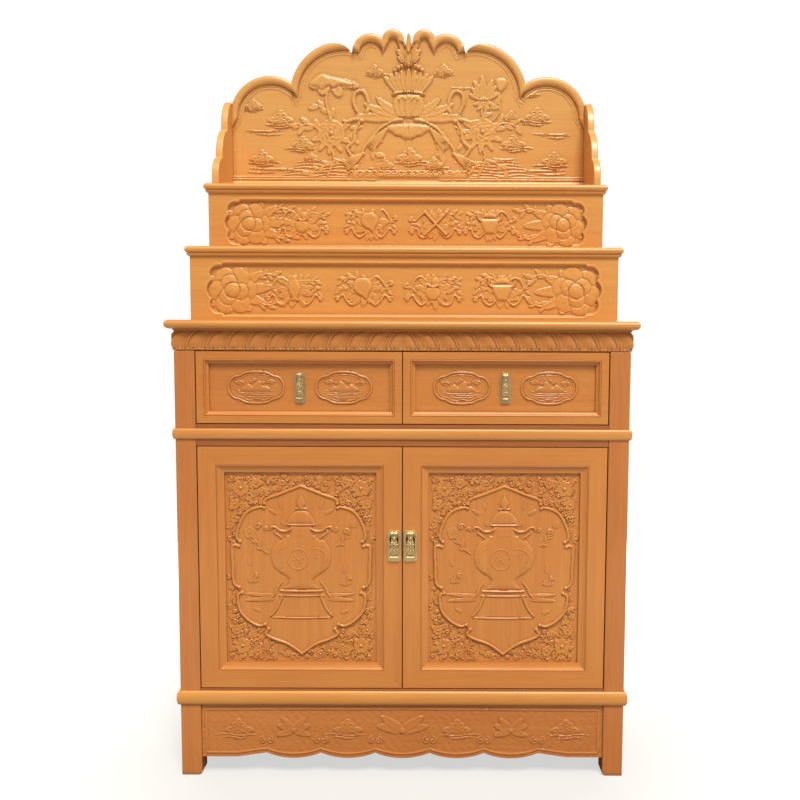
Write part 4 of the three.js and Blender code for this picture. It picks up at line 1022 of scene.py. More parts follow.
def treasure(carving, at, kind, size=1.0):
    """An emblem among leaves, tied with long ribbons that drift to both sides."""
    def here(points, turn=0.0):
        return placed(points, at, turn, size)

    floor = field_depth
    draw = np.random.default_rng(len(kind) * 7 + int(abs(at[0])))
    for ring, (count, near, far, rise) in enumerate(((13, 30, 40, 2.8), (9, 20, 28, 3.8))):
        for k in range(count):
            turn = 360 * (k + 0.5 * ring) / count + draw.uniform(-8, 8)
            foot = here([(8 * math.cos(math.radians(turn)), 6 * math.sin(math.radians(turn)) - 2)])[0]
            carving.petal(foot, draw.uniform(near, far) * size, draw.uniform(15, 19) * size, turn,
                          rise + draw.uniform(-0.3, 0.5), floor, dish=0.35, full=0.9,
                          bend=draw.uniform(-0.25, 0.25),
                          veins=5, lobes=3)
    for sign in (-1, 1):
        drift = draw.uniform(-5, 5, 6)
        high = [(sign * 14, 20), (sign * 30, 33 + drift[0]), (sign * 44, 22 + drift[1]), (sign * 54, 8),
                (sign * 66, 14 + drift[2])]
        low = [(sign * 12, -22), (sign * 28, -35), (sign * 42, -27 + drift[3]), (sign * 50, -12),
               (sign * 64, -22)]
        leafy = sign > 0 if kind in ("vase", "gourd", "sticks") else sign < 0
        sprig = [(sign * 10, 20), (sign * 30, 27 + drift[0]), (sign * 60, 20 + drift[1])]
        if leafy:
            vine(carving, here(sprig), 17 * size, 2.0 * size, 3.4, floor, 9 * size, int(abs(at[0])))
        for marks, hand in ((high, -sign), (low, sign))[int(leafy):]:
            carving.cord(flowing(here(marks)), 2.8 * size, 3.4, (0.8, 0.5), 0.6, floor, flat=0.3)
            carving.curl(here([marks[-1]])[0], 6.5 * size, 2.0, 3.4, 1.2, 90 - 60 * hand, hand, floor)
        for k in range(3):
            spot = here([(sign * (40 + 9 * k), -4 + 7 * (k % 2) + drift[k])])[0]
            carving.petal(spot, 15 * size, 8 * size, 90 - sign * (50 + 40 * k), 3.2, floor, dish=0.3, veins=3)
    if kind == "vase":
        body = [(7, 34), (6, 26), (13, 16), (16, 4), (12, -10), (7, -18), (10, -27)]
        carving.pillow(both_sides(body) * size + np.array(at), 4.8, floor + 0.6, roll=7)
    if kind == "pot":
        body = [(22, 13), (24, 0), (16, -16), (12, -25)]
        carving.pillow(both_sides(body) * size + np.array(at), 4.8, floor + 0.6, roll=8)
        lid = [(0, 37), (4, 30), (14, 25), (20, 16)]
        carving.pillow(both_sides(lid) * size + np.array(at), 5.2, floor + 0.6, roll=6)
        for sign in (-1, 1):
            carving.cord(flowing(here([(sign * 22, 8), (sign * 31, 14), (sign * 31, 24)])), 2.4, 5.4,
                         (1, 0.8), 0.5,
                         floor + 0.6)
    if kind == "sticks":
        for sign in (-1, 1):
            carving.cord(flowing(here([(sign * -28, -28), (0, 0), (sign * 28, 30)])), 3.4, 5.6, (1, 1), 0.8,
                         floor + 0.6, flat=0.4)
            carving.ball(here([(sign * 28, 30)])[0], 5.0, 6.2, floor + 0.6)
    if kind == "fan":
        leaf = [(0, -24), (-9, -13), (-20, -2), (-23, 12), (-15, 25), (0, 30), (15, 25), (23, 12), (20, -2),
                (9, -13)]
        carving.pillow(flowing(here(leaf, 18), closed=True), 5.2, floor + 0.6, roll=6)
        for turn in range(-4, 5, 2):
            carving.groove(flowing(here([(0, -18), (turn * 4, 24)], 18)), 2.0, 1.0)
    if kind == "gourd":
        body = [(0, 32), (-7, 28), (-10, 19), (-6, 10), (-14, 4), (-18, -8), (-12, -21), (0, -26), (12, -21),
                (18, -8), (14, 4), (6, 10), (10, 19), (7, 28)]
        carving.pillow(flowing(here(body, -12), closed=True), 5.0, floor + 0.6, roll=9)
        ribbon(carving, here([(-12, 12), (0, 8), (12, 12)]), 2.4, 2.4, floor + 4.4, split=False)


def peony(carving, middle, size, turn):
    """A broad flower with smooth, cupped, overlapping petals round a full heart."""
    for reach, radius, count, rise in ((0.60, 0.44, 6, 3.6), (0.33, 0.36, 3, 5.2)):
        for k in range(count):
            angle = math.radians(turn + 360 * k / count + 40 * reach)
            spot = (middle[0] + size * reach * math.cos(angle), middle[1] + size * reach * math.sin(angle))
            carving.ball(spot, size * radius, rise, field_depth, 1.6)
            for side in (-0.32, 0.0, 0.32):
                fold = [(spot[0] + size * r * math.cos(angle + side),
                         spot[1] + size * r * math.sin(angle + side))
                        for r in (radius * 0.1, radius * 0.8)]
                carving.groove(flowing([fold[0], fold[1]]), size * 0.09, 0.5)
    carving.ball(middle, size * 0.34, 6.6, field_depth, 1.6)
    carving.groove(arc_through((middle[0] - size * 0.2, middle[1]), (middle[0], middle[1] + size * 0.16),
                               (middle[0] + size * 0.2, middle[1] - size * 0.02)), 2.4, 0.9)


def riser_carving(width, height, half_width, half_height, treasures):
    """A riser's board with its sunk cartouche, which reaches half_width and half_height from the middle."""
    carving = Carving(*rectangle_grid(width, height, 1.5))
    w, h = half_width, half_height
    lobes = [[(w - 40, h)], arc_through((w - 34, h - 6), (w - 14, h - 10), (w - 12, h * 0.36)),
             arc_through((w - 12, h * 0.36), (w, 0), (w - 12, -h * 0.36)),
             arc_through((w - 12, -h * 0.36), (w - 14, 10 - h), (w - 34, 6 - h)), [(w - 40, -h)]]
    outline = both_sides(np.vstack([np.array(part, float) for part in lobes]))
    edge = carving.edge_of(outline)
    chisel_marks(carving, 0.12, 9)
    uncut = carving.z.copy()
    wall = np.clip(edge / 4.0, 0, 1)
    carving.z += field_depth * np.sqrt(wall * (2 - wall))
    bloom_at = w - 60
    for sign in (-1, 1):
        for turn, size in ((28, 74), (152, 84), (205, 86), (-28, 76), (178, 100), (126, 64), (232, 66)):
            away = turn if sign > 0 else 180 - turn
            carving.petal((sign * bloom_at, -2), size, 30, away, 3.4, field_depth, dish=0.3, bend=0.06,
                          veins=7)
        for rise, seed in ((-30, 31), (30, 32)):
            stem = [(sign * (bloom_at - 60), rise * 0.9), (sign * (bloom_at - 84), rise * 1.25),
                    (sign * (bloom_at - 112), rise)]
            vine(carving, stem, 18, 2.2, 3.8, field_depth, 11, seed)
        peony(carving, (sign * bloom_at, -2), half_height * 0.93, 22 * sign)
    for x, kind in treasures:
        treasure(carving, (x, 0), kind, min(1.0, half_height / 60))
    carving.z = np.where(edge > 5, field_depth + 0.85 * (carving.z - field_depth), carving.z)
    carving.z = np.where(edge > 0, np.minimum(carving.z, 0.6), uncut)
    rim = np.clip(1 - np.abs(edge + 3.0) / 2.2, 0, 1)
    carving.z += 0.8 * np.sqrt(rim)
    return carving


lower_riser = riser_carving(1028, 156.4, 474, 62.2,
                            ((-265, "vase"), (-98, "fan"), (70, "gourd"), (235, "pot")))
flat_panel("lower_step_carved_riser", lower_riser, (0, 1154.5), -110, 18, wood["step_level"],
           "lower_step_riser")
upper_riser = riser_carving(996, 146.9, 458, 57.4,
                            ((-262, "gourd"), (-90, "fan"), (75, "sticks"), (212, "pot")))
flat_panel("upper_step_carved_riser", upper_riser, (0, 1330.8), 10, 18, wood["step_level"],
           "upper_step_riser")

# %% [markdown]
# ## The back screen
#
# The screen is one wide board whose top runs in nine lobes up to a small finial. A rounded border
# follows the lobes, with two fine raised lines inside it. A lotus stands over a knotted ribbon in the
# middle, with leaves, peonies, clouds and water at both sides.

# %% The outline of the screen
screen_foot = 1428.5
lobe_marks = (
    ((481.7, 255), (377, 329.5), (319, 313)),
    ((319, 313), (288, 372), (243, 406.5)),
    ((243, 406.5), (208, 416.5), (153.7, 393)),
    ((153.7, 393), (97.3, 442.5), (71.8, 432.5)),
    ((71.8, 432.5), (38.1, 453.7), (12.5, 431)),
)
half_screen = 481.7
finial_marks = [(12.5, 431), (11, 416.5), (6.2, 418), (5.4, 424), (6.6, 432), (4, 439), (0, 444.3)]
lobes = [arc_through(*marks, spacing=1.5) for marks in lobe_marks]
half_top = np.vstack(lobes + [np.array(finial_marks)])[::-1]


def screen_top(x):
    """Height of the screen's top edge above its foot."""
    return np.interp(np.abs(x), half_top[:, 0], half_top[:, 1])


def screen_edge(x, y):
    """Distance in from the screen's edge, with a sharp cusp between one lobe and the next."""
    inside = np.minimum(half_screen - np.abs(x), 255.0 - y)
    for marks in lobe_marks:
        (cx, cy), radius = circle_through(*marks)
        aside = np.abs(x) - cx
        below = np.maximum(cy - y, 0)
        lobe = radius - np.hypot(aside, np.maximum(y - cy, 0)) + 0.55 * below
        inside = np.maximum(inside, lobe)
    return inside


# %% Carve the screen
columns = np.unique(np.concatenate([np.linspace(-half_screen, half_screen, 438), half_top[:, 0][::6],
                                    -half_top[:, 0][::6]]))
columns = columns[np.concatenate([[True], np.diff(columns) > 0.7])]
foot_rows = [-352.2, -175.0, -40.0, -4.0]
shares = np.linspace(0, 1, 195)[:, None]
rows = np.vstack([np.outer(foot_rows, np.ones(len(columns))), shares * screen_top(columns)])
screen = Carving(np.tile(columns, (len(rows), 1)), rows)
foot_margin = 29.0
border_width = 33
edge = np.minimum(screen_edge(screen.x, screen.y), np.maximum(screen.y - foot_margin, 0.0))
field = -6.0
band = np.clip((edge - 17.5) / 4.0, 0, 1)
screen.z = field * band * band * (3 - 2 * band)
crown = np.clip(edge / 19.0, 0, 1)
screen.z += 3.4 * np.sin(np.pi * crown) ** 0.7
for middle, half, rise in ((25.5, 2.4, 2.0), (31.5, 2.2, 1.6)):
    fading = np.clip((np.abs(screen.x) - 78) / 14, 0, 1)
    screen.z += rise * fading * np.sqrt(np.clip(1 - ((edge - middle) / half) ** 2, 0, 1))
for line in (12.0, 18.0):
    away = np.abs(half_screen - np.abs(screen.x) - line)
    upright = (screen.y > 32) & (screen.y < 262)
    screen.z += 1.2 * np.sqrt(np.clip(1 - (away / 1.8) ** 2, 0, 1)) * upright
# The border as it is now is put back after the carving, apart from the part under the crown
framed = screen.z.copy()


def screen_lotus(carving):
    """A lotus in full bloom: drooping leaves, a swollen base, upright petals, seeds and a crown."""
    for sign in (1, -1):
        for turn, length, width, bend in ((196, 118, 30, -0.22), (182, 96, 26, -0.3), (160, 74, 24, -0.25)):
            away = turn if sign < 0 else 180 - turn
            carving.petal((sign * 26, 232), length, width, away, 5.6, field, dish=0.35, full=0.7,
                          bend=-sign * bend, veins=6, moat=1.2)
    base = [(0, 222), (20, 223), (36, 234), (44, 252), (40, 270), (30, 283), (0, 285)]
    carving.pillow(both_sides(base), 7.0, field + 0.4, roll=16, moat=1.4)
    for k in (-2, -1, 1, 2, 0):
        carving.petal((k * 11, 226), 48, 22, 90 - 9 * k, 8.0 - 0.4 * abs(k), field, dish=0.4, full=0.8,
                      moat=0.9)
    carving.cord(flowing([(-44, 284), (-20, 289), (0, 290), (20, 289), (44, 284)]), 3.6, 8.0, (0.7, 0.7), 1.0,
                 field)
    for k in (-4, 4, -3, 3, -2, 2, -1, 1, 0):
        carving.petal((k * 8, 290), 62 - 2.2 * abs(k), 17, 90 - 8.5 * k, 8.4 - 0.4 * abs(k), field, dish=0.42,
                      full=0.75, bend=-0.03 * k, moat=1.0)
    for k in (-4, 4, -3, 3, -2, 2, -1, 1, 0):
        carving.ball((k * 9.2, 362 - 0.9 * k * k), 5.4, 9.0, field, 0.9)
    for turn, length in ((150, 34), (30, 34), (132, 48), (48, 48), (114, 62), (66, 62), (101, 70), (79, 70)):
        carving.petal((0, 366), length, 17, turn, 8.6, field, dish=0.4, full=0.7, moat=1.0)
    carving.petal((0, 366), 64, 17, 90, 9.4, field, dish=0.4, full=0.7, moat=1.0)


def knotted_ribbon(carving):
    """The sash tied under the lotus: loops, long ends and tassels on both sides."""
    for sign in (-1, 1):
        def side(points):
            return handed(sign, points)

        ribbon(carving, side([(18, 216), (60, 214), (104, 222), (146, 216), (168, 210)]), 5.0, 5.6, field)
        loop = side([(128, 214), (112, 240), (112, 270), (126, 292), (146, 286), (150, 258), (138, 232)])
        ribbon(carving, loop, 4.6, 6.2, field, split=False)
        ribbon(carving, side([(132, 214), (146, 184), (150, 158), (168, 140), (160, 122)]), 4.6, 5.8, field)
        ribbon(carving, side([(52, 208), (78, 192), (100, 168), (120, 142), (128, 124)]), 3.6, 5.0, field,
               split=False)
        tassel(carving, side([(56, 196)])[0], side([(106, 140)])[0], 11, 5.6, field)
        tassel(carving, side([(124, 124)])[0], side([(174, 90)])[0], 11, 5.4, field)
        carving.ball(side([(128, 214)])[0], 7.5, 7.4, field, 1.0)
    ribbon(carving, [(-44, 194), (-22, 186), (0, 192), (22, 186), (44, 194)], 4.6, 5.8, field, split=False)
    bowl = [(0, 164), (14, 166), (24, 172), (36, 173), (45, 181), (56, 186), (60, 197), (50, 202), (26, 204),
            (0, 205)]
    carving.pillow(both_sides(bowl), 5.4, field, roll=9, moat=1.2)
    for k in range(-3, 4):
        carving.groove(flowing([(k * 7, 203), (k * 11, 186), (k * 13, 174 + 2 * abs(k))]), 2.6, 1.3)


def lotus_leaf(carving):
    """A lotus leaf seen from its side, drooping like a canopy, on the left."""
    for foot, length, width, turn in (((-212, 322), 62, 34, 196), ((-212, 322), 78, 24, -14),
                                      ((-214, 324), 50, 36, 236), ((-212, 322), 52, 30, 300)):
        carving.petal(foot, length, width, turn, 6.0, field, dish=0.35, full=1.3, veins=6, moat=1.2, lobes=4)
    canopy = [(-268, 306), (-262, 322), (-246, 333), (-232, 336), (-218, 331), (-200, 328), (-176, 320),
              (-140, 311),
              (-160, 303), (-186, 306), (-206, 298), (-220, 304), (-236, 294), (-250, 300)]
    carving.pillow(flowing(canopy, True), 6.8, field, roll=9, moat=1.2)
    for x, y in ((-252, 300), (-236, 297), (-214, 300), (-192, 306), (-168, 309)):
        carving.groove(flowing([(-228, 332), ((x - 228) / 2, (y + 334) / 2), (x, y)]), 2.4, 1.4)
    carving.cord(flowing([(-222, 296), (-226, 262), (-218, 230), (-216, 214)]), 3.0, 4.8, (1, 1), 0.8, field)


def lotus_bud(carving):
    """A half-open lotus and a seed pod on the right."""
    for turn, size, width in ((165, 42, 14), (20, 44, 16), (140, 46, 15), (45, 48, 16), (120, 56, 16),
                              (64, 56, 16),
                              (95, 62, 18)):
        carving.petal((206, 272), size, width, turn, 6.6, field, dish=0.42, full=0.8, moat=1.0)
    for k in (-1, 0, 1):
        carving.ball((206 + 9 * k, 272 - 3 * abs(k)), 5.6, 6.6, field)
    for turn in (200, 235, 305, 340):
        carving.petal((206, 266), 30, 12, turn, 5.0, field, dish=0.3, veins=4)
    pod = [(238, 322), (254, 328), (270, 322), (266, 304), (252, 290), (242, 300)]
    carving.pillow(flowing(pod, True), 5.6, field, roll=7)
    carving.cord(flowing([(250, 292), (246, 268), (250, 240), (232, 214)]), 2.6, 4.6, (1, 1), 0.8, field)
    carving.cord(flowing([(206, 262), (200, 238), (206, 216)]), 2.8, 4.6, (1, 1), 0.8, field)


def screen_flowers(carving):
    """A peony on each side with leaves round it, its stem and the sprays beside it."""
    for x, y, turn in ((-213, 178, 0), (203, 184, 30)):
        for away in (200, 235, 265, 300, 335, 155, 25):
            foot = (x + 24 * math.cos(math.radians(away)), y + 24 * math.sin(math.radians(away)))
            carving.petal(foot, 34, 15, away, 4.8, field, dish=0.3, veins=5)
        carving.bloom((x, y), 37, 7.8, field, ((1.0, 7), (0.7, 6), (0.42, 5)), turn)
        carving.cord(flowing([(x, y - 40), (x + 8, 108), (x - 10, 64)]), 3, 4.4, (1, 1), 0.8, field)
        out = math.copysign(1, x)
        for marks, leaf, radius, height, every, seed in (
            ([(x + 4, 112), (x + 40, 98), (x + 70, 76)], 20, 2.2, 4.2, 15, 12),
            ([(x + 2, 96), (x - 34, 84), (x - 62, 66)], 20, 2.2, 4.2, 15, 13),
            ([(x + out * 26, y + 4), (x + out * 60, y + 24), (x + out * 96, y + 14)], 26, 2.4, 4.4, 16, 14),
            ([(x - out * 4, y + 34), (x + out * 14, y + 62), (x + out * 48, y + 78)], 25, 2.4, 4.4, 16, 15),
            ([(out * 72, 158), (out * 96, 140), (out * 84, 112)], 24, 2.4, 4.0, 14, 16),
            ([(out * 130, 196), (out * 158, 176), (out * 150, 148)], 22, 2.4, 4.0, 14, 17),
        ):
            vine(carving, marks, leaf, radius, height, field, every, seed)


def screen_sky(carving):
    """Clouds, mist and water round the flowers."""
    for x, y, size, flip in ((-92, 342, 0.9, 1), (98, 344, 0.9, -1), (-352, 212, 1.35, 1),
                             (354, 222, 1.3, -1),
                             (281, 222, 0.85, 1), (-290, 146, 1.15, -1), (288, 150, 1.25, 1),
                             (-404, 108, 1.2, 1),
                             (402, 104, 1.3, -1), (-268, 112, 0.7, 1), (-66, 92, 1.0, -1), (70, 94, 1.0, 1),
                             (2, 112, 1.35, 1), (-424, 250, 0.9, -1), (330, 290, 0.8, 1)):
        cloud(carving, (x, y), size, flip, 5.0, field, puffs=5)
    for spot, lengths, height in (
        ((-400, 186), [(-52, 60), (-40, 30), (-20, 56)], 3.4),
        ((392, 180), [(-54, 50), (-30, 56), (-10, 40)], 3.4),
        ((264, 112), [(-36, 36), (-16, 24)], 3.2),
        ((-180, 302), [(-40, 60)], 3.0),
        ((150, 302), [(-40, 40)], 3.0),
        ((-380, 84), [(-60, 50), (-20, 90), (-66, 20)], 3.2),
        ((380, 82), [(-60, 56), (-90, 20), (-30, 60)], 3.2),
    ):
        streaks(carving, spot, lengths, height, field)
    for k in range(-8, 9):
        for ring in (17, 11, 5.5):
            arc = arc_through((19 * k - ring, 60), (19 * k, 60 + ring), (19 * k + ring, 60))
            carving.cord(arc, 2.0, 3.8, (1, 1), 0.5, field)
    for k in range(5):
        low = 66 + 9 * k
        for sign in (-1, 1):
            wave = [(sign * (170 + 46 * j - 12 * k), low + (3 if j % 2 else -2)) for j in range(5)]
            carving.cord(flowing(wave), 1.9, 3.2, (0.3, 0.3), 0.5, field)


screen_sky(screen)
screen_flowers(screen)
lotus_leaf(screen)
lotus_bud(screen)
knotted_ribbon(screen)
screen_lotus(screen)
carved = edge >= border_width
screen.z = np.where(carved, field + 0.82 * (screen.z - field), screen.z)
under_crown = (np.abs(screen.x) < 78) & (screen.y > 330)
screen.z = np.where((edge < border_width) & ~under_crown, framed, screen.z)
screen.z = np.where(edge < 6, framed, screen.z)
screen.z = np.clip(screen.z, -8.0, 5.0)
screen.z[: len(foot_rows) + 1] = 4.8


screen_face = 214.0
screen_thickness = 26.0
screen_board = flat_panel("back_screen_carved", screen, (0, screen_foot), screen_face, screen_thickness,
                          wood["screen_level"], "back_screen")
# Below the step boards the screen is wider on both sides
cheek_spans = (-497.7, -481.5), (481.5, 497.7)
cheeks = [block(span, (209.3, 239.8), (1076.3, 1232.7)) for span in cheek_spans]
join_onto(screen_board, *cheeks)

# %% [markdown]
# ## The frieze of lotus petals
#
# Under the top runs a band of slanting petals with curled tips, mirrored at the middle.


# %% Carve the frieze
petal_band = 45.2
frieze_height = 48.7
frieze_depth = 53.0
frieze_half = 529.0


def frieze_heights(along, up, pitch=46.0):
    """Slanting petals on a barrel-shaped band; along grows from the middle, up from the bottom edge."""
    share = np.clip(up / petal_band, 0, 1)
    place = (along + 19 * share**1.5) / pitch % 1
    barrel = -4.0 * np.abs((share - 0.48) / 0.52) ** 2.4
    wide = 0.68
    body = np.sin(np.pi * np.clip(place / wide, 0, 1) ** 1.9) ** 0.75
    tall = 0.45 + 0.55 * np.sin(np.pi * np.clip(share - 0.12, 0, 0.84) / 0.84) ** 0.8
    tip_edge = 0.95 - 0.14 * np.abs(place / wide - 0.55) ** 1.5
    tip = np.sqrt(np.clip((tip_edge - share) / 0.1, 0, 1))
    level = 3.6 * body * tall * tip
    for middle, half, rise in ((0.79, 0.06, 2.7), (0.92, 0.045, 2.0)):
        strand = np.sqrt(np.clip(1 - ((place - middle) / half) ** 2, 0, 1))
        level += rise * strand * np.clip((0.93 - share) / 0.06, 0, 1)
    bead = np.clip(1 - (((along / 9.2) % 1 - 0.5) * 2) ** 2 - ((share - 0.065) / 0.065) ** 2, 0, 1)
    level = np.where(share < 0.13, 2.4 * np.sqrt(bead), level)
    z = barrel - 3.2 + level
    return np.where(up > petal_band, -4.0, np.clip(z, -6.5, -0.1))


def frieze_length(name, start, end, mitres, along, to_world, material, node):
    """One length of the frieze; mitres says which of its ends are cut at 45 degrees."""
    heights = np.append(np.linspace(0, petal_band, 36), [petal_band + 0.2, frieze_height])
    x, up = np.meshgrid(np.linspace(start, end, int((end - start) / 1.2)), heights)
    z = frieze_heights(along(x), up)
    near_end = 30.0
    for mitre, corner in zip(mitres, (start, end)):
        if mitre:
            closeness = np.clip(1 - np.abs(x - corner) / near_end, 0, 1)
            x = x + z * closeness * np.sign(corner)
    front = to_world(x, up, -z)
    low_end = start + (frieze_depth if mitres[0] else 0)
    high_end = end - (frieze_depth if mitres[1] else 0)
    back = np.linspace(low_end, high_end, x.shape[1])
    deep = np.full(x.shape[1], frieze_depth)
    back_low = to_world(back, up[0], deep)
    back_high = to_world(back, up[-1], deep)
    return carved_board(name, front, back_low, back_high, hollowness(z, 1.9), material, node)


frieze_foot = 1007.0
frieze_length("frieze_front_petals", -frieze_half, frieze_half, (True, True), np.abs,
              lambda x, up, deep: np.stack([x, deep - 225.0, up + frieze_foot], axis=-1), wood["leaf_level"],
              "frieze_front")
frieze_length("frieze_right_petals", -225.0 + 0.3, 239.8, (True, False), lambda x: x + 225.0,
              lambda x, up, deep: np.stack([frieze_half + 0.3 - deep, x, up + frieze_foot], axis=-1),
              wood["case_deep"], "frieze_right")
frieze_length("frieze_left_petals", -239.8, 225.0 - 0.3, (False, True), lambda x: 225.0 - x,
              lambda x, up, deep: np.stack([deep - frieze_half - 0.3, -x, up + frieze_foot], axis=-1),
              wood["case_deep"], "frieze_left")

# %% [markdown]
# ## The apron
#
# The board between the front feet has a scalloped lower edge. A raised line follows the edge, and
# sprays of leaves and cloud scrolls are carved above it in very low relief.

# %% Carve the front apron
apron_foot, apron_top, apron_half = 41.0, 171.7, 475.7
apron_pitch, cusp_rise, end_rise = 129.0, 13.0, 3.0


def apron_edge(x):
    """Height of the scalloped edge above its lowest line."""
    cusps = np.arange(-2.5, 3.0) * apron_pitch
    side = np.abs(x)
    last = cusps[-1]
    place = (side / apron_pitch + 0.5) % 1 - 0.5
    (_, low), radius = circle_through((-apron_pitch / 2, cusp_rise), (0, 0), (apron_pitch / 2, cusp_rise))
    scallop = low - np.sqrt(radius**2 - (place * apron_pitch) ** 2)
    flat = apron_half - (apron_half - last) * 0.55
    slope = cusp_rise + (end_rise - cusp_rise) * np.clip((side - last) / (flat - last), 0, 1)
    return np.where(side > last, slope, scallop)


apron_height = apron_top - apron_foot
apron_columns = np.unique(np.concatenate([np.linspace(-apron_half, apron_half, 560),
                                          np.arange(-2.5, 3.0) * apron_pitch]))
lowest = apron_edge(apron_columns)
apron_rows = lowest + np.linspace(0, 1, 74)[:, None] * (apron_height - lowest)
apron = Carving(np.tile(apron_columns, (74, 1)), apron_rows)
chisel_marks(apron, 0.3, 15)
for sign in (-1, 1):
    lines = [(x, float(apron_edge(np.array(x))) + 10.5) for x in np.arange(0, apron_half - 12, 3.0)]
    corner = [(apron_half - 11, end_rise + 12), (apron_half - 10, apron_height - 12), (0, apron_height - 10)]
    border = np.array(lines + corner, float) * (sign, 1)
    apron.cord(border, 2.4, 1.7, (1, 1), 0.5, 0.0)
for k in range(-3, 4):
    x, middle = k * 129.0, 68.0
    if k == 0:
        for turn in (10, 170, 35, 145):
            apron.petal((0, middle), 62, 24, turn, 2.2, 0.0, dish=0.3, veins=5)
        apron.ball((0, middle), 9, 2.6, 0.0)
    if abs(k) in (1, 3):
        cloud(apron, (x, middle), 1.35, 1 if k > 0 else -1, 2.2, 0.0, 44, 5)
    if abs(k) == 2:
        for side in (-1, 1):
            for turn in (18, 48, -18):
                away = turn if side > 0 else 180 - turn
                apron.petal((x, middle), 42, 18, away, 2.2, 0.0, dish=0.3, veins=5)
        apron.ball((x, middle), 7, 2.4, 0.0)
    if k < 3:
        for start, hand in ((-8, 1), (8, -1)):
            apron.curl((x + 64.5 + start, 44), 9, 2.2, 2.0, 1.3, 90, hand, 0.0)
apron.z = np.clip(apron.z, -1.5, 2.4)


apron_face = -216.0
board_thickness = 18.0
flat_panel("apron_front_carved", apron, (0, apron_foot), apron_face, board_thickness, wood["case_level"],
           "apron_front")

# %% [markdown]
# ## Mouldings, frames and nosed boards
#
# A moulding is one section drawn along a straight line and cut at an angle at its ends. The
# section lists how far in from the outer edge and how far above the face each point lies.


# %% Make a mitred length and a nosed board
def closed_mesh(name, points, faces):
    """A solid from its points in millimetres and its faces, with the faces turned outwards."""
    mesh = bpy.data.meshes.new(name)
    mesh.from_pydata((np.array(points) * MM).tolist(), [], faces)
    piece = new_object(name, mesh)
    activate(piece)
    bpy.ops.object.mode_set(mode="EDIT")
    bpy.ops.mesh.select_all(action="SELECT")
    bpy.ops.mesh.normals_make_consistent(inside=False)
    bpy.ops.object.mode_set(mode="OBJECT")
    smooth(piece, 38)
    return piece


def mitred_length(name, section, start, end, to_world, cuts):
    """Points of the section are (across, out); cuts say how much across and out move each end inwards."""
    count = len(section)
    (a0, b0), (a1, b1) = cuts
    points = [to_world(start + across * a0 + out * b0, across, out) for across, out in section]
    points += [to_world(end - across * a1 - out * b1, across, out) for across, out in section]
    faces = [[k, (k + 1) % count, count + (k + 1) % count, count + k] for k in range(count)]
    faces += [list(range(count)), list(range(count, 2 * count))]
    return closed_mesh(name, points, faces)


def nosed_board(name, box, nose, material, node):
    """A board whose front and both ends have a moulded nose, given from its underside to its top."""
    (x0, y0, _), (x1, y1, _) = box
    points = []
    for inward, z in nose:
        points += [(x0 + inward, y1, z), (x0 + inward, y0 + inward, z), (x1 - inward, y0 + inward, z),
                   (x1 - inward, y1, z)]
    rings = len(nose)
    faces = [[4 * k + c, 4 * k + c + 1, 4 * k + c + 5, 4 * k + c + 4]
             for k in range(rings - 1) for c in range(3)]
    faces.append([0, 1, 2, 3])
    faces.append([4 * rings - 4 + c for c in range(4)])
    faces.append([4 * k for k in range(rings)] + [4 * k + 3 for k in reversed(range(rings))])
    return dress(closed_mesh(name, points, faces), material, node)


def node_box(node):
    """The corners of a node's box in millimetres."""
    low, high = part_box(node)
    return np.array(low) / MM, np.array(high) / MM


def half_round(thickness, top):
    """A half-round nose as pairs of how far in and how high."""
    radius = thickness / 2
    turns = np.linspace(-math.pi / 2, math.pi / 2, 12)
    return [(radius - radius * math.cos(t), top - radius + radius * math.sin(t)) for t in turns]


def step_nose(top, thickness, overhang):
    """A round lip above a small fillet and a hollow that runs back to the riser."""
    lip = 0.72 * thickness
    hollow = thickness - lip
    bottom = top - thickness
    turns = np.linspace(0, math.pi / 2, 7)
    inset = lip * 0.2
    cove = [(overhang - (overhang - inset) * math.sin(t), bottom + hollow * (1 - math.cos(t))) for t in turns]
    turns = np.linspace(-math.pi / 2, math.pi / 2, 12)
    round_lip = [(lip / 2 * (1 - math.cos(t)), top - lip / 2 + lip / 2 * math.sin(t)) for t in turns]
    return cove + round_lip


def band_section(height, proud):
    """The section of a band that bulges out by proud."""
    turns = np.linspace(-math.pi / 2, math.pi / 2, 15)
    return [(height / 2 + height / 2 * math.sin(t), proud * math.cos(t) ** 0.8) for t in turns]


for band, proud in (("waist_moulding", 5.0), ("base_moulding", 7.0)):
    low, high = node_box(f"{band}_front")
    foot, face, inner = low[2], low[1] + proud, high[0] - proud
    section = band_section(high[2] - low[2], proud)
    made = mitred_length(f"{band}_front_rounded", section, -inner, inner,
                         lambda along, across, out: (along, face - out, foot + across), ((0, -1), (0, -1)))
    dress(made, wood["band_level"], f"{band}_front")
    for side, sign in (("left", -1), ("right", 1)):
        low, high = node_box(f"{band}_{side}")
        flank = min(abs(low[0]), abs(high[0]))
        made = mitred_length(f"{band}_{side}_rounded", section, low[1] + proud, high[1],
                             lambda along, across, out: (sign * (flank + out), along, foot + across),
                             ((0, -1), (0, 0)))
        dress(made, wood["band_deep"], f"{band}_{side}")

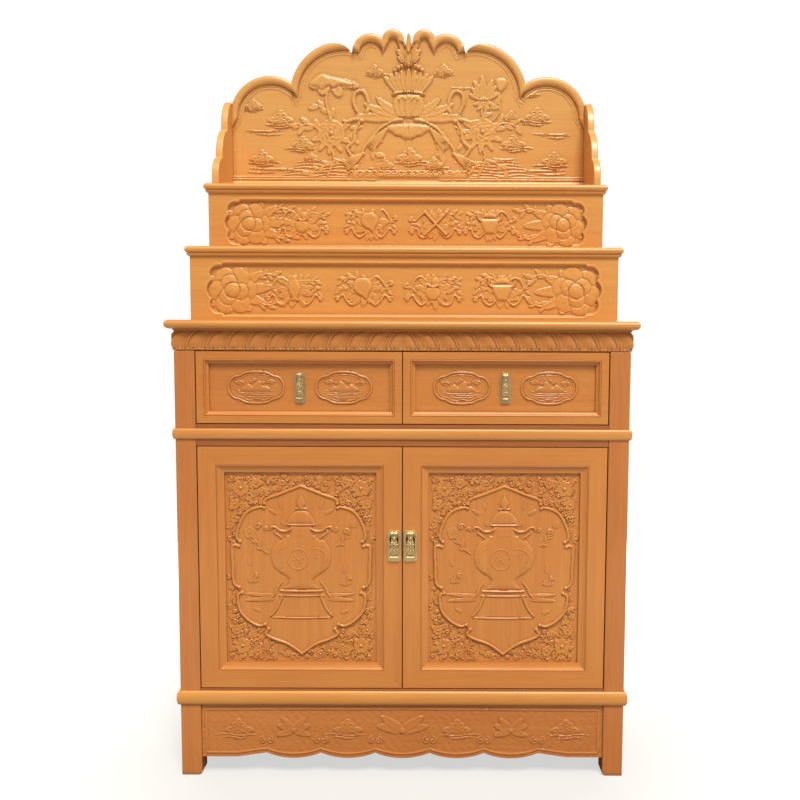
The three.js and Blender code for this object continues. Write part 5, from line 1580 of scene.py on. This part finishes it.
top_thickness = 20.0
slot_half = 482.0
slot_front, slot_back = 208.7, 250.0
overhang = 10.0
top_low, top_high = node_box("tabletop")
nosed_board("tabletop_with_nose", (top_low, top_high), half_round(top_thickness, top_high[2]),
            wood["band_level"], "tabletop")
for node in ("lower_step_board", "upper_step_board"):
    low, high = node_box(node)
    nose = step_nose(high[2], high[2] - low[2], overhang)
    board = nosed_board(f"{node}_with_nose", (low, high), nose, wood["step_level"], node)
    slot = block((-slot_half, slot_half), (slot_front, slot_back), (low[2] - 5, high[2] + 5))
    activate(board)
    notch = board.modifiers.new("slot_for_the_screen", "BOOLEAN")
    notch.object = slot
    notch.operation = "DIFFERENCE"
    notch.solver = "EXACT"
    bpy.ops.object.modifier_apply(modifier=notch.name)
    bpy.data.objects.remove(slot)
print("mouldings, tabletop and step boards made")


# %% Door frames and drawer fronts
def frame_section(flat, width, depth, back, bead=2.2):
    """Flat face, a bead, then a long hollow slope down to the panel."""
    section = [(0.0, -back), (0.0, -0.8), (0.25, -0.25), (0.8, 0.0), (flat, 0.0), (flat + 0.4, -1.5)]
    turns = np.linspace(0.2, 2.9, 11)
    section += [(flat + 0.6 + bead * (1 - math.cos(t)) / 2, -1.3 + 1.2 * math.sin(t)) for t in turns]
    slope = np.linspace(0, 1, 9)
    start = flat + 0.8 + bead
    section += [(start + (width - start) * k, -1.9 - (depth - 1.9) * (1 - (1 - k) ** 2)) for k in slope]
    section += [(width, -back)]
    return section


def framed_members(prefix, low, high, section, face):
    """The four members of a frame, each cut at 45 degrees at both ends."""
    x0, z0, x1, z1 = low[0], low[2], high[0], high[2]
    runs = {
        "left_stile": (z0, z1, lambda along, across, out: (x0 + across, face - out, along)),
        "right_stile": (z0, z1, lambda along, across, out: (x1 - across, face - out, along)),
        "bottom_rail": (x0, x1, lambda along, across, out: (along, face - out, z0 + across)),
        "top_rail": (x0, x1, lambda along, across, out: (along, face - out, z1 - across)),
    }
    both_mitred = ((1, 0), (1, 0))
    return {part: mitred_length(f"{prefix}_{part}_moulded", section, start, end, to_world, both_mitred)
            for part, (start, end, to_world) in runs.items()}


leaf_face = -220.0
door_low, door_high = 214.0, 786.0
pin_radius, pin_length = 2.5, 12
front_back, front_panel_face = -200.0, -207.0
for side in ("left", "right"):
    left, _ = node_box(f"door_{side}_left_stile")
    _, right = node_box(f"door_{side}_right_stile")
    members = framed_members(f"door_{side}", (left[0], 0, door_low), (right[0], 0, door_high),
                             frame_section(flat=42.0, width=60.0, depth=6.6, back=24.0), leaf_face)
    for part, member in members.items():
        node = f"door_{side}_{part}"
        if part.endswith("rail"):
            solid = np.array([v.co for v in frame["nodes"][node].data.vertices]) / MM
            pin = solid[(solid[:, 2] < door_low - 1) | (solid[:, 2] > door_high + 1)]
            middle = (pin.min(axis=0) + pin.max(axis=0)) / 2
            level = door_low - 2 if part == "bottom_rail" else door_high + 2
            bpy.ops.mesh.primitive_cylinder_add(vertices=16, radius=pin_radius * MM, depth=pin_length * MM,
                                                location=(middle[0] * MM, middle[1] * MM, level * MM))
            join_onto(member, settle(bpy.context.object))
        dress(member, wood["leaf_upright" if part.endswith("stile") else "leaf_level"], node)
    node = f"drawer_{side}_front"
    low, high = node_box(node)
    section = frame_section(flat=17.0, width=28.0, depth=7.5, back=20.0, bead=3.0)
    members = list(framed_members(f"drawer_{side}", low, high, section, leaf_face).values())
    inset = 24
    board = block((low[0] + inset, high[0] - inset), (front_panel_face, front_back),
                  (low[2] + inset, high[2] - inset))
    join_onto(members[0], board, *members[1:])
    dress(members[0], wood["leaf_level"], node)
print("door frames and drawer fronts made")

# %% [markdown]
# ## Brass pulls
#
# The pulls are cast brass, polished and then left to tone: warm yellow where hands rub it, brown in
# the hollows. The plate is a softened copy of its node. The drop is a small carving with a boss, a
# flower and a spray of leaves, hung on a knuckle that turns on the plate's pin.


# %% The brass and the cast drop
def aged_brass(name, pale, rich, deep):
    """Cast brass in two tones that change with wear, and a deep one for the grime in its hollows."""
    material, tree, shader = new_material(name)
    place = add_node(tree, "ShaderNodeTexCoord").outputs["Object"]
    patches = {"Vector": place, "Scale": 180.0, "Detail": 4.0}
    wear = add_node(tree, "ShaderNodeTexNoise", patches).outputs["Fac"]
    tones = {"Factor": wear, 6: linear(pale), 7: linear(rich)}
    colour = add_node(tree, "ShaderNodeMix", tones, data_type="RGBA").outputs[2]
    hollow = add_node(tree, "ShaderNodeAttribute", attribute_name="hollow").outputs["Fac"]
    share = {"Value": hollow, "From Max": 0.6, "To Max": 0.8}
    grime = add_node(tree, "ShaderNodeMapRange", share).outputs["Result"]
    tones = {"Factor": grime, 6: colour, 7: linear(deep)}
    colour = add_node(tree, "ShaderNodeMix", tones, data_type="RGBA").outputs[2]
    tree.links.new(colour, shader.inputs["Base Color"])
    spread = {"Value": wear, "To Min": 0.3, "To Max": 0.48}
    rough = add_node(tree, "ShaderNodeMapRange", spread).outputs["Result"]
    tree.links.new(rough, shader.inputs["Roughness"])
    shader.inputs["Metallic"].default_value = 1.0
    return material


brass = aged_brass("AgedCastBrass", "#F8DCA6", "#CDA36A", "#54401F")


def cast_drop(node):
    """The drop of a pull: a knuckle on the pin and a cast leaf with a boss, a knot and petals."""
    low, high = node_box(node)
    width, length = high[0] - low[0], high[2] - low[2]
    knuckle = 4.2
    hang = length - knuckle
    heights = np.linspace(-hang, 0, 90)
    corner = 5.0
    near_end = np.clip(corner - np.minimum(heights + hang, -heights), 0, corner)
    halves = width / 2 - corner + np.sqrt(corner**2 - near_end**2)
    halves -= 0.7 * np.abs(np.sin(np.pi * heights / 14.0))
    neck, shoulder = 4.0, 11.0
    share = np.clip((-heights - 2.0) / (shoulder - 2.0), 0, 1)
    halves = np.minimum(halves, neck + (width / 2 - neck) * share)
    x = np.linspace(-1, 1, 41)[None, :] * halves[:, None]
    carving = Carving(x, np.tile(heights[:, None], (1, 41)))
    edge = np.minimum(halves[:, None] - np.abs(carving.x), np.minimum(-carving.y, carving.y + hang))
    carving.z = np.where(edge < 1.6, 0.9 * np.sqrt(np.clip(edge / 1.6, 0, 1)), 0.0)
    carving.ball((0, -0.2 * hang), width * 0.14, 2.0, -0.6, 0.8)
    for k in range(8):
        carving.petal((0, -0.45 * hang), width * 0.34, width * 0.2, 45 * k, 1.5, -0.5, dish=0.2, moat=0.6)
    carving.ball((0, -0.45 * hang), width * 0.11, 2.2, -0.4, 0.5)
    for turn in (-130, -50, -110, -70, -90):
        carving.petal((0, -0.68 * hang), hang * 0.24, width * 0.2, turn, 1.5, -0.5, dish=0.2, moat=0.6)
    carving.z = np.clip(carving.z, -1.2, 2.6)
    middle, pin_y, pin_z = (low[0] + high[0]) / 2, (low[1] + high[1]) / 2, high[2] - knuckle
    face, back = pin_y - 1.6, pin_y + 1.2
    piece = flat_panel(f"{node}_cast", carving, (middle, pin_z), face, back - face, brass, node, 0.8)
    barrel = (width + 6.0) / 2 - 3.4
    bpy.ops.mesh.primitive_uv_sphere_add(segments=32, ring_count=16, radius=4.9 * MM,
                                         location=(middle * MM, pin_y * MM, pin_z * MM))
    boss = settle(bpy.context.object)
    bpy.ops.mesh.primitive_cylinder_add(vertices=32, radius=knuckle * MM, depth=barrel * MM,
                                        location=(middle * MM, pin_y * MM, pin_z * MM),
                                        rotation=(0, math.pi / 2, 0))
    roll = settle(bpy.context.object)
    boss.select_set(True)
    bpy.ops.object.shade_smooth_by_angle(angle=math.radians(40))
    join_onto(piece, boss, roll)


# %% Round the remaining pieces and cast the drops
for side in ("left", "right"):
    softened(f"apron_{side}", wood["case_deep"], 0.8, 2)
    softened(f"wing_{side}", wood["screen_upright"], 2.5, 4)
    for leaf in ("door", "drawer"):
        softened(f"{leaf}_{side}_pull_plate", brass, 0.3, 2)
        cast_drop(f"{leaf}_{side}_pull_drop")
